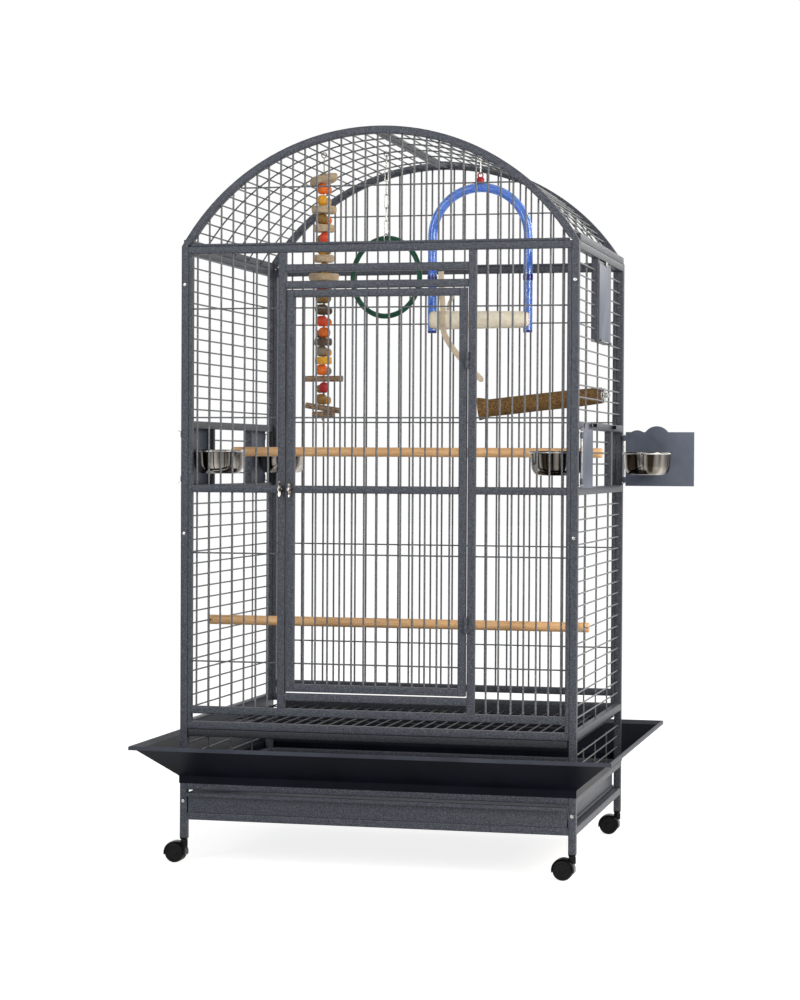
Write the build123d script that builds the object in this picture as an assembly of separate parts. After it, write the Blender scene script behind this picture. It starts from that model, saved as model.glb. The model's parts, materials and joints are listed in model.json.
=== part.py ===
from build123d import *
from math import asin, cos, pi, sin, sqrt, tan
import os

# Driving dimensions, in millimetres. The front faces -Y, +Z is up and the floor is Z = 0.
cage_width = 1016.0
cage_depth = 762.0
tube = 19.0
tube_wall = 1.5
stile_width = 10.0
bar_bays = 32
bar_flat = 5.0
wire_flat = 4.0
leg_bottom = 64.0
low_rail_z = 119.0
base_rail_z = 195.0
bottom_rail_z = 350.0
lower_rail_z = 389.0
sill_z = 428.0
mid_rail_z = 949.0
feeder_rail_z = 1111.0
header_z = 1460.0
transom_z = 1502.0
top_rail_z = 1550.5
dome_rise = 291.0
dome_rods_per_half = 18
dome_arc_count = 5
flat_bar = 6.0
side_gap = 4.0
door_top_gap = 2.5
cross_low_gap = 51.5
cross_top_gap = 26.0
cross_step = 274.5
touch = 0.05
loose = 0.3
slide_gap = 0.2
run_fit = 0.05

# Values that follow from the driving dimensions.
half_w = cage_width / 2
half_d = cage_depth / 2
side_x = half_w - tube / 2
face_y = half_d - tube / 2
inner_x = half_w - tube
inner_y = half_d - tube
half_tube = tube / 2
bar_pitch = (cage_width - tube) / bar_bays
wire_half = wire_flat / 2
bar_half = bar_flat / 2
door_half = 7.5 * bar_pitch
stile_inner_x = inner_x - stile_width
top_z = top_rail_z + half_tube
wire_inner_x = side_x - wire_half
wire_outer_x = side_x + wire_half
door_top_z = header_z - tube - door_top_gap
door_low_z = sill_z + tube + side_gap


def even(low, high, count):
    step = (high - low) / (count + 1)
    return [low + step * (i + 1) for i in range(count)]


def block(x0, x1, y0, y1, z0, z1):
    centre = ((x0 + x1) / 2, (y0 + y1) / 2, (z0 + z1) / 2)
    return Pos(*centre) * Box(abs(x1 - x0), abs(y1 - y0), abs(z1 - z0))


def tube_x(x0, x1, y, z, deep=tube, high=tube):
    outer = block(x0, x1, y - deep / 2, y + deep / 2, z - high / 2, z + high / 2)
    w = tube_wall
    hollow = block(x0 - 1, x1 + 1, y - deep / 2 + w, y + deep / 2 - w, z - high / 2 + w, z + high / 2 - w)
    return outer - hollow


def tube_y(y0, y1, x, z, wide=tube, high=tube):
    outer = block(x - wide / 2, x + wide / 2, y0, y1, z - high / 2, z + high / 2)
    w = tube_wall
    hollow = block(x - wide / 2 + w, x + wide / 2 - w, y0 - 1, y1 + 1, z - high / 2 + w, z + high / 2 - w)
    return outer - hollow


def tube_z(z0, z1, x, y, wide=tube, deep=tube):
    outer = block(x - wide / 2, x + wide / 2, y - deep / 2, y + deep / 2, z0, z1)
    w = tube_wall
    hollow = block(x - wide / 2 + w, x + wide / 2 - w, y - deep / 2 + w, y + deep / 2 - w, z0 - 1, z1 + 1)
    return outer - hollow


# Round bars and wires are drawn with four flats, and a flat faces each wire that they cross.
def wire(plane, across, length):
    return extrude(plane * Rectangle(across, across), amount=length)


def wire_x(x0, x1, y, z):
    return wire(Plane((x0, y, z), x_dir=(0, 1, 0), z_dir=(1, 0, 0)), wire_flat, x1 - x0)


def wire_y(y0, y1, x, z):
    return wire(Plane((x, y0, z), x_dir=(1, 0, 0), z_dir=(0, 1, 0)), wire_flat, y1 - y0)


def wire_z(z0, z1, x, y):
    return wire(Plane((x, y, z0)), wire_flat, z1 - z0)


def bar_z(z0, z1, x, y):
    return wire(Plane((x, y, z0)), bar_flat, z1 - z0)


# A turned piece is a prism with enough flats to read as round.
def turned(x, y, z, axis, radius, length, sides):
    outline = RegularPolygon(radius, sides, major_radius=False, rotation=180 / sides)
    return extrude(Plane((x, y, z), z_dir=axis) * outline, amount=length)


# Small pins and their bores have eight flats. The pin's corners stay inside the bore's flats at every angle.
def pin(x, y, z, axis, radius, length):
    return extrude(Plane((x, y, z), z_dir=axis) * RegularPolygon(radius, 8), amount=length)


def bore(x, y, z, axis, radius, length):
    face = RegularPolygon(radius + run_fit, 8, major_radius=False)
    return extrude(Plane((x, y, z), z_dir=axis) * face, amount=length)


# A skin of flat panels through a row of like polygons, closed by a face at each end.
def skin(rings):
    count = len(rings[0])
    panels = [Face(Wire.make_polygon(rings[0])), Face(Wire.make_polygon(rings[-1]))]
    for low, high in zip(rings, rings[1:]):
        for i in range(count):
            j = (i + 1) % count
            panels.append(Face(Wire.make_polygon([low[i], low[j], high[j], high[i]])))
    return Solid(Shell(panels))


def ring_points(x, y, z, radius, sides):
    turns = [2 * pi * i / sides for i in range(sides)]
    return [(x + radius * cos(a), y + radius * sin(a), z) for a in turns]


def corners(x, y):
    return [(-x, -y), (x, -y), (-x, y), (x, y)]


nodes = {}


def keep(name, *solids):
    flat = []
    for item in solids:
        flat += list(item) if isinstance(item, (list, tuple)) else [item]
    nodes[name] = flat


# Corner posts run from the legs' feet to the box top.
keep("corner_posts", [tube_z(leg_bottom, top_z, x, y) for x, y in corners(side_x, face_y)])

# Front panel: rails, narrow stiles beside the posts, and the two jambs of the door opening.
jamb_x = door_half + half_tube
stile_x = inner_x - stile_width / 2
lower_top = lower_rail_z + half_tube
top_under = top_rail_z - half_tube
front_frame = [
    tube_x(-inner_x, inner_x, -face_y, top_rail_z),
    tube_x(-stile_inner_x, stile_inner_x, -face_y, lower_rail_z),
    tube_x(-door_half, door_half, -face_y, transom_z),
    tube_x(-door_half, door_half, -face_y, header_z),
    tube_x(-door_half, door_half, -face_y, sill_z),
]
for side in (-1, 1):
    front_frame.append(tube_z(bottom_rail_z + half_tube, top_under, side * stile_x, -face_y, stile_width))
    front_frame.append(tube_z(lower_top, top_under, side * jamb_x, -face_y))
    ends = sorted((side * stile_inner_x, side * (jamb_x + half_tube)))
    front_frame.append(tube_x(ends[0], ends[1], -face_y, mid_rail_z))
keep("front_frame", front_frame)

# Cross wires run behind the upright bars, in two pairs that are set out from the door's top and bottom rails.
mid_low = mid_rail_z - half_tube
mid_high = mid_rail_z + half_tube
cross_first = door_low_z + half_tube + cross_low_gap
cross_last = door_top_z - half_tube - cross_top_gap
cross_zs = [cross_first, cross_first + cross_step, cross_last - cross_step, cross_last]
cross_y = -face_y + bar_half + wire_half


def upright_pair(x, y, low, high):
    return [bar_z(low, mid_low, x, y), bar_z(mid_high, high, x, y)]


front_bars = []
for side in (-1, 1):
    for k in range(9, 16):
        front_bars += upright_pair(side * k * bar_pitch, -face_y, lower_top, top_under)
    ends = sorted((side * stile_inner_x, side * (jamb_x + half_tube)))
    front_bars += [wire_x(ends[0], ends[1], cross_y, z) for z in cross_zs]
keep("front_bars", front_bars)

# Back panel: one field of bars from the lower rail to the top rail.
keep(
    "back_frame",
    tube_x(-inner_x, inner_x, face_y, top_rail_z),
    tube_x(-stile_inner_x, stile_inner_x, face_y, lower_rail_z),
    [tube_z(bottom_rail_z + half_tube, top_under, s * stile_x, face_y, stile_width) for s in (-1, 1)],
)
back_bars = [bar_z(lower_top, top_under, k * bar_pitch, face_y) for k in range(-15, 16)]
back_bars += [wire_x(-stile_inner_x, stile_inner_x, -cross_y, z) for z in cross_zs]
keep("back_bars", back_bars)

# Side panels: level wires, with two feeder openings and, on the right, a nest box opening.
upright_width = 12.0
feeder_reach = 165.0
feeder_low = mid_high
feeder_high = feeder_rail_z - half_tube
bottom_top = bottom_rail_z + half_tube
upper_low = feeder_rail_z + half_tube
lower_wires = even(bottom_top, mid_low, 18)
middle_wires = even(feeder_low, feeder_high, 4)
upper_wires = even(upper_low, top_under, 13)
brace_out = 190.0
brace_ys = (-brace_out, 0.0, brace_out)
nest_y = 24.0
nest_half = 90.0
nest_low_gap = 8.0
nest_top_gap = 16.0
nest_low = upper_wires[6] + wire_half + nest_low_gap
nest_high = top_under - nest_top_gap
feeder_in = feeder_reach - upright_width / 2


def side_frame(side):
    x = side * side_x
    parts = [tube_y(-inner_y, inner_y, x, z) for z in (top_rail_z, feeder_rail_z, mid_rail_z, bottom_rail_z)]
    parts += [tube_z(feeder_low, feeder_high, x, s * feeder_reach, tube, upright_width) for s in (-1, 1)]
    return parts


def side_wires(side, nest):
    x = side * side_x
    brace_x = side * (side_x - wire_flat)
    parts = [wire_y(-inner_y, inner_y, x, z) for z in lower_wires]
    parts += [wire_y(-feeder_in, feeder_in, x, z) for z in middle_wires]
    post_out = nest_half + upright_width
    for z in upper_wires:
        if nest and z > nest_low - upright_width:
            parts.append(wire_y(-inner_y, nest_y - post_out, x, z))
            parts.append(wire_y(nest_y + post_out, inner_y, x, z))
        else:
            parts.append(wire_y(-inner_y, inner_y, x, z))
    for y in brace_ys:
        blocked = nest and abs(y - nest_y) < nest_half
        upper_end = nest_low - upright_width if blocked else top_under
        parts.append(wire_z(bottom_top, mid_low, brace_x, y))
        parts.append(wire_z(upper_low, upper_end, brace_x, y))
    return parts


def nest_frame():
    posts = [s * (nest_half + upright_width / 2) + nest_y for s in (-1, 1)]
    parts = [tube_z(nest_low - upright_width, top_under, side_x, y, tube, upright_width) for y in posts]
    for z in (nest_low - upright_width / 2, nest_high + upright_width / 2):
        parts.append(tube_y(nest_y - nest_half, nest_y + nest_half, side_x, z, tube, upright_width))
    return parts


keep("left_side_frame", side_frame(-1))
keep("left_side_wires", side_wires(-1, False))
keep("right_side_frame", side_frame(1), nest_frame())
keep("right_side_wires", side_wires(1, True))

# Base: three levels of rails, and angle runners that carry the tray and the grate.
low_top = low_rail_z + half_tube
base_low = base_rail_z - half_tube
bottom_low = bottom_rail_z - half_tube
runner_leg = 14.0
runner_wall = 2.0
low_runner_rise = 8.0
high_runner_rise = 12.0
grate_drop = 9.5
grate_z = bottom_low - grate_drop
runner_top = grate_z - wire_half - wire_flat - slide_gap


def runner(side, shelf_top, leg_top):
    edge = side * inner_x
    shelf = block(edge, edge - side * runner_leg, -inner_y, inner_y, shelf_top - runner_wall, shelf_top)
    leg = block(edge, edge - side * runner_wall, -inner_y, inner_y, shelf_top - runner_wall, leg_top)
    return shelf + leg


base_frame = []
for z in (low_rail_z, base_rail_z):
    base_frame += [tube_y(-inner_y, inner_y, s * side_x, z) for s in (-1, 1)]
for z in (low_rail_z, base_rail_z, bottom_rail_z):
    base_frame += [tube_x(-inner_x, inner_x, s * face_y, z) for s in (-1, 1)]
for side in (-1, 1):
    base_frame.append(runner(side, low_top, low_top + low_runner_rise))
    base_frame.append(runner(side, runner_top, bottom_low + high_runner_rise))
keep("base_frame", base_frame)

# Dome: end arches bent in two halves that meet at the crown, side rails, flat base bars and a split ridge.
arch_out = (half_w ** 2 + dome_rise ** 2) / (2 * dome_rise)
arch_mid = arch_out - half_tube
arch_in = arch_out - tube
arch_z = top_z + dome_rise - arch_out


def dome_height(radius, x):
    return arch_z + sqrt(radius ** 2 - x ** 2)


def half_arch(side, y):
    ring = Plane.XZ * (Circle(arch_out) - Circle(arch_in))
    body = Pos(0, y + half_tube, arch_z) * extrude(ring, amount=tube)
    return body & block(0, side * cage_width, y - tube, y + tube, top_z, top_z + 2 * dome_rise)


ridge_gap = 2.0
ridge_width = 16.0
ridge_under = 6.0
ridge_over = 2.0
ridge_edge = ridge_gap / 2 + ridge_width
ridge_mid = arch_z + arch_mid
base_end = sqrt(arch_in ** 2 - (top_z + flat_bar - arch_z) ** 2) - touch
dome_frame = []
for side in (-1, 1):
    dome_frame += [half_arch(side, -face_y), half_arch(side, face_y)]
    dome_frame.append(tube_y(-inner_y, inner_y, side * side_x, top_z + half_tube))
    ridge = block(side * ridge_gap / 2, side * ridge_edge, -inner_y, inner_y, ridge_mid - ridge_under,
                  ridge_mid + ridge_over)
    base_bar = block(-base_end, base_end, side * inner_y, side * half_d, top_z, top_z + flat_bar)
    dome_frame += [ridge, base_bar]
keep("dome_frame", dome_frame)

# Each end bar is cut along the arch's inner curve.
end_bars = []
end_cross_rise = 145.5
end_cross_z = top_z + end_cross_rise
for y in (-face_y, face_y):
    for k in range(-15, 16):
        x = k * bar_pitch
        tall = bar_z(top_z + flat_bar, top_z + dome_rise, x, y)
        lean = x / (arch_in - touch)
        tangent = Plane((x, y, dome_height(arch_in - touch, x)), z_dir=(lean, 0, sqrt(1 - lean ** 2)))
        end_bars.append(split(tall, bisect_by=tangent, keep=Keep.BOTTOM))
    inward = -1 if y > 0 else 1
    reach = sqrt((arch_in - touch) ** 2 - (end_cross_z + wire_half - arch_z) ** 2)
    end_bars.append(wire_x(-reach, reach, y + inward * (bar_half + wire_half), end_cross_z))
keep("dome_end_bars", end_bars)

# Roof rods run front to back on the arch line, with bent wires under them.
rod_first = asin(ridge_edge / arch_mid)
rod_last = asin(inner_x / arch_mid)
rod_angles = even(rod_first, rod_last, dome_rods_per_half)
arc_ys = even(-inner_y, inner_y, dome_arc_count)
arc_chords = 6


def roof_rod(side, angle):
    x = side * arch_mid * sin(angle)
    z = arch_z + arch_mid * cos(angle)
    plane = Plane((x, -inner_y, z), x_dir=(cos(angle), 0, -side * sin(angle)), z_dir=(0, 1, 0))
    return wire(plane, wire_flat, 2 * inner_y)


# A bent wire is made of short chords that stay just under the rods.
def roof_arc(side, y):
    outer = arch_mid - wire_half
    turns = [side * (rod_first + (rod_last - rod_first) * i / arc_chords) for i in range(-1, arc_chords + 2)]
    rim = [(outer * sin(a), outer * cos(a)) for a in turns]
    under = [((outer - wire_flat) * sin(a), (outer - wire_flat) * cos(a)) for a in reversed(turns)]
    strip = Plane.XZ * make_face(Polyline(*rim, *under, close=True))
    hoop = Pos(0, y + wire_half, arch_z) * extrude(strip, amount=wire_flat)
    room = block(side * ridge_edge, side * inner_x, y - tube, y + tube, top_z, top_z + 2 * dome_rise)
    return hoop & room


for side, word in ((-1, "left"), (1, "right")):
    roof = [roof_rod(side, a) for a in rod_angles] + [roof_arc(side, y) for y in arc_ys]
    keep("dome_" + word + "_wires", roof)

# Seed guards: folded sheet, bolted to the posts and mitred at the corners.
guard_sheet = 1.5
guard_clear = 2.0
guard_flange = 15.0
guard_low = base_rail_z + half_tube + guard_clear
guard_bend = guard_low + guard_flange
guard_reach = 100.0
guard_rise = 81.0
guard_lip = 10.0
mitre_gap = 1.0


def guard(face, half_length):
    s = guard_sheet
    run = sqrt(guard_reach ** 2 + guard_rise ** 2)
    nx = guard_rise / run * s
    nz = guard_reach / run * s
    rim_z = guard_bend + guard_rise
    lip_z = rim_z - guard_lip
    section = Polyline(
        (0, guard_low), (s, guard_low), (s, guard_bend), (guard_reach, rim_z - s), (guard_reach, lip_z),
        (guard_reach + s, lip_z), (guard_reach + s, rim_z + nz - s), (guard_reach - nx, rim_z + nz),
        (0, guard_bend + nz), close=True,
    )
    profile = Plane((0, 0, 0), x_dir=(0, -1, 0), z_dir=(-1, 0, 0)) * make_face(section)
    long = half_length + guard_reach + 2 * s
    sheet = Pos(long, -face, 0) * extrude(profile, amount=2 * long)
    end = half_length - mitre_gap
    plan = Polyline(
        (-end, -face), (end, -face), (end + 2 * guard_reach, -face - 2 * guard_reach),
        (-end - 2 * guard_reach, -face - 2 * guard_reach), close=True,
    )
    return sheet & extrude(make_face(plan), amount=2 * base_rail_z + guard_rise)


keep("guard_front", guard(half_d, half_w))
keep("guard_back", Rot(0, 0, 180) * guard(half_d, half_w))
keep("guard_left", Rot(0, 0, -90) * guard(half_w, half_d))
keep("guard_right", Rot(0, 0, 90) * guard(half_w, half_d))

# Front door: a tube frame on two pin hinges at its right stile.
door_out = door_half - side_gap
door_stile_x = door_out - half_tube
door_in = door_out - tube
door_ends = (door_low_z - half_tube, door_top_z + half_tube)
hinge_x = door_half - side_gap / 2
hinge_r = 5.0
hinge_pin_r = 2.5
hinge_stand = 0.5
hinge_y = -half_d - hinge_r - hinge_stand
leaf = 2.0
leaf_reach = 14.0
knuckle = 20.0
hinge_from_end = 190.0
hinge_zs = (sill_z + hinge_from_end, header_z - hinge_from_end)


def hinge_leaf(side, low):
    barrel = turned(hinge_x, hinge_y, low, (0, 0, 1), hinge_r, knuckle, 8)
    plate = block(hinge_x, hinge_x + side * leaf_reach, -half_d, -half_d - leaf, low, low + knuckle)
    return barrel + plate


door_frame = [tube_z(door_ends[0], door_ends[1], s * door_stile_x, -face_y) for s in (-1, 1)]
door_frame += [tube_x(-door_in, door_in, -face_y, z) for z in (door_low_z, mid_rail_z, door_top_z)]
fixed_leaves = []
for z in hinge_zs:
    hinge_pin = pin(hinge_x, hinge_y, z, (0, 0, 1), hinge_pin_r, knuckle)
    fixed_leaves.append(hinge_leaf(1, z - knuckle) + hinge_pin)
    bored = hinge_leaf(-1, z + slide_gap)
    door_frame.append(bored - bore(hinge_x, hinge_y, z, (0, 0, 1), hinge_pin_r, knuckle + 1))
keep("door_hinge_leaves", fixed_leaves)

# Turn latch: a wing on the jamb swings across the door stile, and a shorter wing sits on the stile.
stud_r = 3.0
wing_long = 40.0
wing_wide = 6.0
hub_r = 6.0
stile_stud = 10.0
jamb_stud = 18.0
wing_half = 2.0
keeper_half = 9.0
stud_short = 1.0


def latch_stud(x, length):
    return pin(x, -half_d, mid_rail_z, (0, -1, 0), stud_r, length)


def wing_knob(x, start, length):
    hub = turned(x, -half_d - start, mid_rail_z, (0, -1, 0), hub_r, length - start + wing_half, 8)
    front = -half_d - length
    wing = block(x - wing_wide / 2, x + wing_wide / 2, front - wing_half, front + wing_half,
                 mid_rail_z - wing_long / 2, mid_rail_z + wing_long / 2)
    return hub + wing - bore(x, -half_d, mid_rail_z, (0, -1, 0), stud_r, length)


keeper = block(-door_out, -door_in, -half_d - leaf, -half_d, mid_rail_z - keeper_half,
               mid_rail_z + keeper_half)
door_frame.append(keeper + latch_stud(-door_stile_x, stile_stud - stud_short))
keep("door_frame", door_frame)
fixed_leaves.append(latch_stud(-jamb_x, jamb_stud - stud_short))
keep("door_hinge_leaves", fixed_leaves)
keep("jamb_wing_latch", wing_knob(-jamb_x, slide_gap, jamb_stud))
keep("stile_wing_latch", wing_knob(-door_stile_x, leaf + slide_gap, stile_stud))

door_bars = []
for k in range(-6, 7):
    door_bars += upright_pair(k * bar_pitch, -face_y, door_low_z + half_tube, door_top_z - half_tube)
door_bars += [wire_x(-door_in, door_in, cross_y, z) for z in cross_zs]
keep("door_bars", door_bars)

# Feeder doors: a stamped plate with a ring welded inside. Each is drawn as the right rear one, then mirrored.
plate_wall = 1.5
plate_stand = 0.5
hinge_set_in = 6.0
hinge_stand_out = 5.0
feeder_hinge_y = inner_y - hinge_set_in
feeder_hinge_x = half_w + hinge_stand_out
feeder_long = feeder_hinge_y - feeder_reach + 1
plate_low_lap = 2.5
plate_high_lap = 1.5
plate_low = feeder_low - plate_low_lap
plate_high = feeder_high + plate_high_lap
plate_in_x = half_w + plate_stand
knuckle_r = 4.0
feeder_pin_r = 2.0
ring_in = 66.0
ring_out = 70.0
ring_high = 6.0
ring_rise = 82.0
ring_z = feeder_low + ring_rise
lug_half = 20.0
lug_deep = 6.0
cup_sides = 14
cup_along = 74.0
cup_off = plate_in_x - ring_out
feeder_knuckle = 14.0
knuckle_in = 10.0
feeder_knuckles = (plate_low + knuckle_in, plate_high - knuckle_in - feeder_knuckle)
plate_near = 5.0
large_crest_at = 90.0
large_crest_half = 31.0
large_crest_rise = 16.0
small_crest_at = 36.5
small_crest_half = 16.0
small_crest_rise = 5.0


def ring_band(outer, inner, low, high, sides):
    ring = RegularPolygon(outer, sides) - RegularPolygon(inner, sides, major_radius=False)
    return extrude(Plane.XY.offset(low) * ring, amount=high - low)


# The plate's top edge rises in one large and one small crest.
def crest(middle, half, rise):
    low = plate_high
    return ThreePointArc((middle - half, low), (middle, low + rise), (middle + half, low))


def plate_outline():
    near = feeder_hinge_y - plate_near
    far = feeder_hinge_y - feeder_long
    large = crest(feeder_hinge_y - large_crest_at, large_crest_half, large_crest_rise)
    small = crest(feeder_hinge_y - small_crest_at, small_crest_half, small_crest_rise)
    sides = Polyline((near, plate_high), (near, plate_low), (far, plate_low), (far, plate_high))
    joins = [Line(sides @ 1, large @ 0), Line(large @ 1, small @ 0), Line(small @ 1, sides @ 0)]
    rim = [sides, joins[0], large, joins[1], small, joins[2]]
    return make_face(Wire([edge for part in rim for edge in part.edges()]))


def feeder_door():
    cup_y = feeder_hinge_y - cup_along
    flat = Plane((plate_in_x, 0, 0), x_dir=(0, 1, 0), z_dir=(1, 0, 0)) * plate_outline()
    ring = Pos(cup_off, cup_y, 0) * ring_band(ring_out, ring_in, ring_z, ring_z + ring_high, cup_sides)
    lug = block(plate_in_x, plate_in_x - lug_deep, cup_y - lug_half, cup_y + lug_half, ring_z,
                ring_z + ring_high)
    lug -= Pos(cup_off, cup_y, 0) * extrude(RegularPolygon(ring_out, cup_sides), amount=2 * ring_z)
    door = extrude(flat, amount=plate_wall)
    for z in feeder_knuckles:
        door += turned(feeder_hinge_x, feeder_hinge_y, z, (0, 0, 1), knuckle_r, feeder_knuckle, 8)
        door += block(plate_in_x, plate_in_x + plate_wall, feeder_hinge_y - plate_near - 1, feeder_hinge_y, z,
                      z + feeder_knuckle)
    door -= bore(feeder_hinge_x, feeder_hinge_y, plate_low, (0, 0, 1), feeder_pin_r, plate_high - plate_low)
    return door.solids() + ring.solids() + lug.solids()


# One pin runs through both knuckles, held by an ear at each end.
ear_wall = 3.0
ear_half = 4.0
ear_foot = 12.0


def feeder_fixed():
    low = feeder_knuckles[0] - slide_gap
    high = feeder_knuckles[1] + feeder_knuckle + slide_gap
    parts = [pin(feeder_hinge_x, feeder_hinge_y, low, (0, 0, 1), feeder_pin_r, high - low)]
    for z in (low - ear_wall, high):
        parts.append(block(half_w, feeder_hinge_x + ear_half, feeder_hinge_y - ear_half, inner_y + ear_foot,
                           z, z + ear_wall))
    return parts


# A pressed steel cup hangs in the ring by its rim. Its side is steep and turns in to a flat foot.
cup_r = ring_in - loose
cup_wall = 1.2
cup_taper = 3.0
cup_lip_wide = 3.0
cup_lip = ring_in + cup_lip_wide
cup_deep = 60.0
cup_turn = 26.0
cup_foot_r = 48.0
cup_rim = ring_z + ring_high + slide_gap


def cup():
    foot = cup_rim - cup_deep
    side_r = cup_r - cup_taper
    form = (
        (foot, cup_foot_r), (foot + cup_turn, side_r), (cup_rim, cup_r), (cup_rim, cup_lip),
        (cup_rim + cup_wall, cup_lip), (cup_rim + cup_wall, cup_r - cup_wall),
        (foot + cup_turn, side_r - cup_wall), (foot + cup_wall, cup_foot_r - cup_wall),
    )
    return skin([ring_points(cup_off, feeder_hinge_y - cup_along, z, r, cup_sides) for z, r in form])


# A hook pivots on the rail above each plate. It is drawn turned aside along the rail, so the plate is free.
hook_from_edge = 33.0
hook_y = feeder_hinge_y - feeder_long + hook_from_edge
hook_half = 5.0
hook_wall = 2.0
hook_toe = 9.0
hook_clear = 1.0
hook_rise = 2.0
pin_past = 3.0
hook_long = 34.0
hook_pin_r = 2.0
hook_z = feeder_rail_z + hook_rise
hook_back = plate_in_x + plate_wall + hook_clear


def feeder_hook():
    tip = hook_y - hook_long
    low = hook_z - hook_half
    high = hook_z + hook_half
    arm = block(hook_back, hook_back + hook_wall, tip, hook_y + hook_half, low, high)
    toe = block(hook_back, hook_back + hook_toe, tip, tip + hook_wall, low, high)
    return arm + toe - bore(hook_back, hook_y, hook_z, (1, 0, 0), hook_pin_r, hook_wall)


def hook_pin():
    return pin(half_w, hook_y, hook_z, (1, 0, 0), hook_pin_r, hook_back - half_w + pin_past)


def placed(solids, side, end):
    for flip, plane in ((end, Plane.XZ), (side, Plane.YZ)):
        if flip < 0:
            solids = [mirror(s, plane) for s in solids]
    return solids


feeder_places = {"right_rear": (1, 1), "right_front": (1, -1), "left_rear": (-1, 1), "left_front": (-1, -1)}
open_swing = Axis((feeder_hinge_x, feeder_hinge_y, 0), (0, 0, 1))
feeder_pins = []
for word, (side, end) in feeder_places.items():
    door = placed(feeder_door(), side, end)
    bowl = placed([cup()], side, end)
    if word == "right_rear":
        door = [s.rotate(open_swing, 90) for s in door]
        bowl = [s.rotate(open_swing, 90) for s in bowl]
    keep("feeder_door_" + word, door)
    keep("feeder_cup_" + word, bowl)
    keep("feeder_hook_" + word, placed([feeder_hook()], side, end))
    feeder_pins += placed(feeder_fixed() + [hook_pin()], side, end)

# Nest box door: hinged along its lower edge, held by a turn button above it, drawn turned aside.
nest_side_lap = 7.0
nest_low_lap = 6.0
nest_high_lap = 4.0
nest_hinge_drop = 10.0
nest_ear_half = 3.0
nest_barrel = 3.5
nest_barrel_long = 30.0
nest_barrel_out = 60.0
button_rise = 8.0
button_reach = 26.0
nest_door_half = nest_half + nest_side_lap
nest_door_low = nest_low - nest_low_lap
nest_door_high = nest_high + nest_high_lap
nest_hinge_x = half_w + hinge_stand_out
nest_hinge_z = nest_low - nest_hinge_drop
nest_barrels = [nest_y + s * nest_barrel_out for s in (-1, 1)]
button_z = nest_high + button_rise

nest_door = block(plate_in_x, plate_in_x + plate_wall, nest_y - nest_door_half, nest_y + nest_door_half,
                  nest_door_low, nest_door_high)
for y in nest_barrels:
    low_y = y - nest_barrel_long / 2
    nest_door += turned(nest_hinge_x, low_y, nest_hinge_z, (0, 1, 0), nest_barrel, nest_barrel_long, 8)
    nest_door += block(plate_in_x, plate_in_x + plate_wall, low_y, low_y + nest_barrel_long, nest_hinge_z,
                       nest_door_low)
pin_start = nest_barrels[0] - nest_barrel_long / 2 - slide_gap
pin_end = nest_barrels[1] + nest_barrel_long / 2 + slide_gap
nest_door -= bore(nest_hinge_x, pin_start, nest_hinge_z, (0, 1, 0), feeder_pin_r, pin_end - pin_start)
nest_fixed = [pin(nest_hinge_x, pin_start, nest_hinge_z, (0, 1, 0), feeder_pin_r, pin_end - pin_start)]
for y in (pin_start - ear_wall, pin_end):
    nest_fixed.append(block(half_w, nest_hinge_x + nest_ear_half, y, y + ear_wall,
                            nest_hinge_z - nest_ear_half, nest_hinge_z + nest_ear_half))
nest_fixed.append(pin(half_w, nest_y, button_z, (1, 0, 0), hook_pin_r, hook_back - half_w + pin_past))
nest_button = block(hook_back, hook_back + hook_wall, nest_y - hook_half, nest_y + button_reach,
                    button_z - hook_half, button_z + hook_half)
nest_button -= bore(hook_back, nest_y, button_z, (1, 0, 0), hook_pin_r, hook_wall)
keep("nest_door", nest_door)
keep("nest_button", nest_button)
keep("side_door_pins", feeder_pins + nest_fixed)

# Tray: a shallow sheet pan with a folded pull along the front.
tray_sheet = 1.5
tray_side_gap = 3.0
tray_top_gap = 6.0
tray_front_set = 1.0
tray_back_gap = 4.0
pull_reach = 14.0
pull_high = 9.0
tray_half = inner_x - tray_side_gap
tray_low = low_top + slide_gap
tray_high = base_low - tray_top_gap
tray_front = -half_d + tray_front_set
tray_back = inner_y - tray_back_gap
pull_front = tray_front - pull_reach
tray_room = tray_half - tray_sheet
tray = block(-tray_half, tray_half, tray_front, tray_back, tray_low, tray_high)
tray -= block(-tray_room, tray_room, tray_front + tray_sheet, tray_back - tray_sheet, tray_low + tray_sheet,
              tray_high)
tray += block(-tray_half, tray_half, pull_front, tray_front, tray_high - tray_sheet, tray_high)
tray += block(-tray_half, tray_half, pull_front, pull_front + tray_sheet, tray_high - pull_high, tray_high)
keep("tray", tray)

# Grate: rods over three cross wires, with a tube along the front.
grate_side_gap = 1.5
grate_short = 20.0
grate_half = inner_x - runner_wall - grate_side_gap
grate_bar = 2 * (bottom_low - slide_gap - grate_z)
grate = [tube_x(-grate_half, grate_half, -face_y, grate_z, tube, grate_bar)]
grate_back = inner_y - grate_short
grate += [wire_y(-inner_y, grate_back, k * bar_pitch, grate_z) for k in range(-15, 16)]
grate_cross = [-inner_y + wire_half, 0, grate_back - grate_short]
grate += [wire_x(-grate_half, grate_half, y, grate_z - wire_flat) for y in grate_cross]
keep("grate", grate)

# Casters: a tapered plug in each leg, a hooded fork that swivels on its stem, and twin wheels.
wheel_r = 25.0
wheel_wide = 16.0
caster_trail = 22.0
hood_r = 29.0
hood_wall = 2.5
hood_half = 20.5
hood_sides = 14
web_half = 2.0
stem_r = 5.0
axle_r = 3.0
swivel_r = 9.0
swivel_deep = 16.0
plug_tall = 6.0
plug_taper = 2.0
spigot_tall = 20.0
stem_clear = 1.0
cover_tall = 46.0
web_tall = 50.0
cover_lift = 17.0
wheel_clear = 0.5
swivel_low = leg_bottom - swivel_deep
plug_high = leg_bottom - plug_tall


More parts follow.
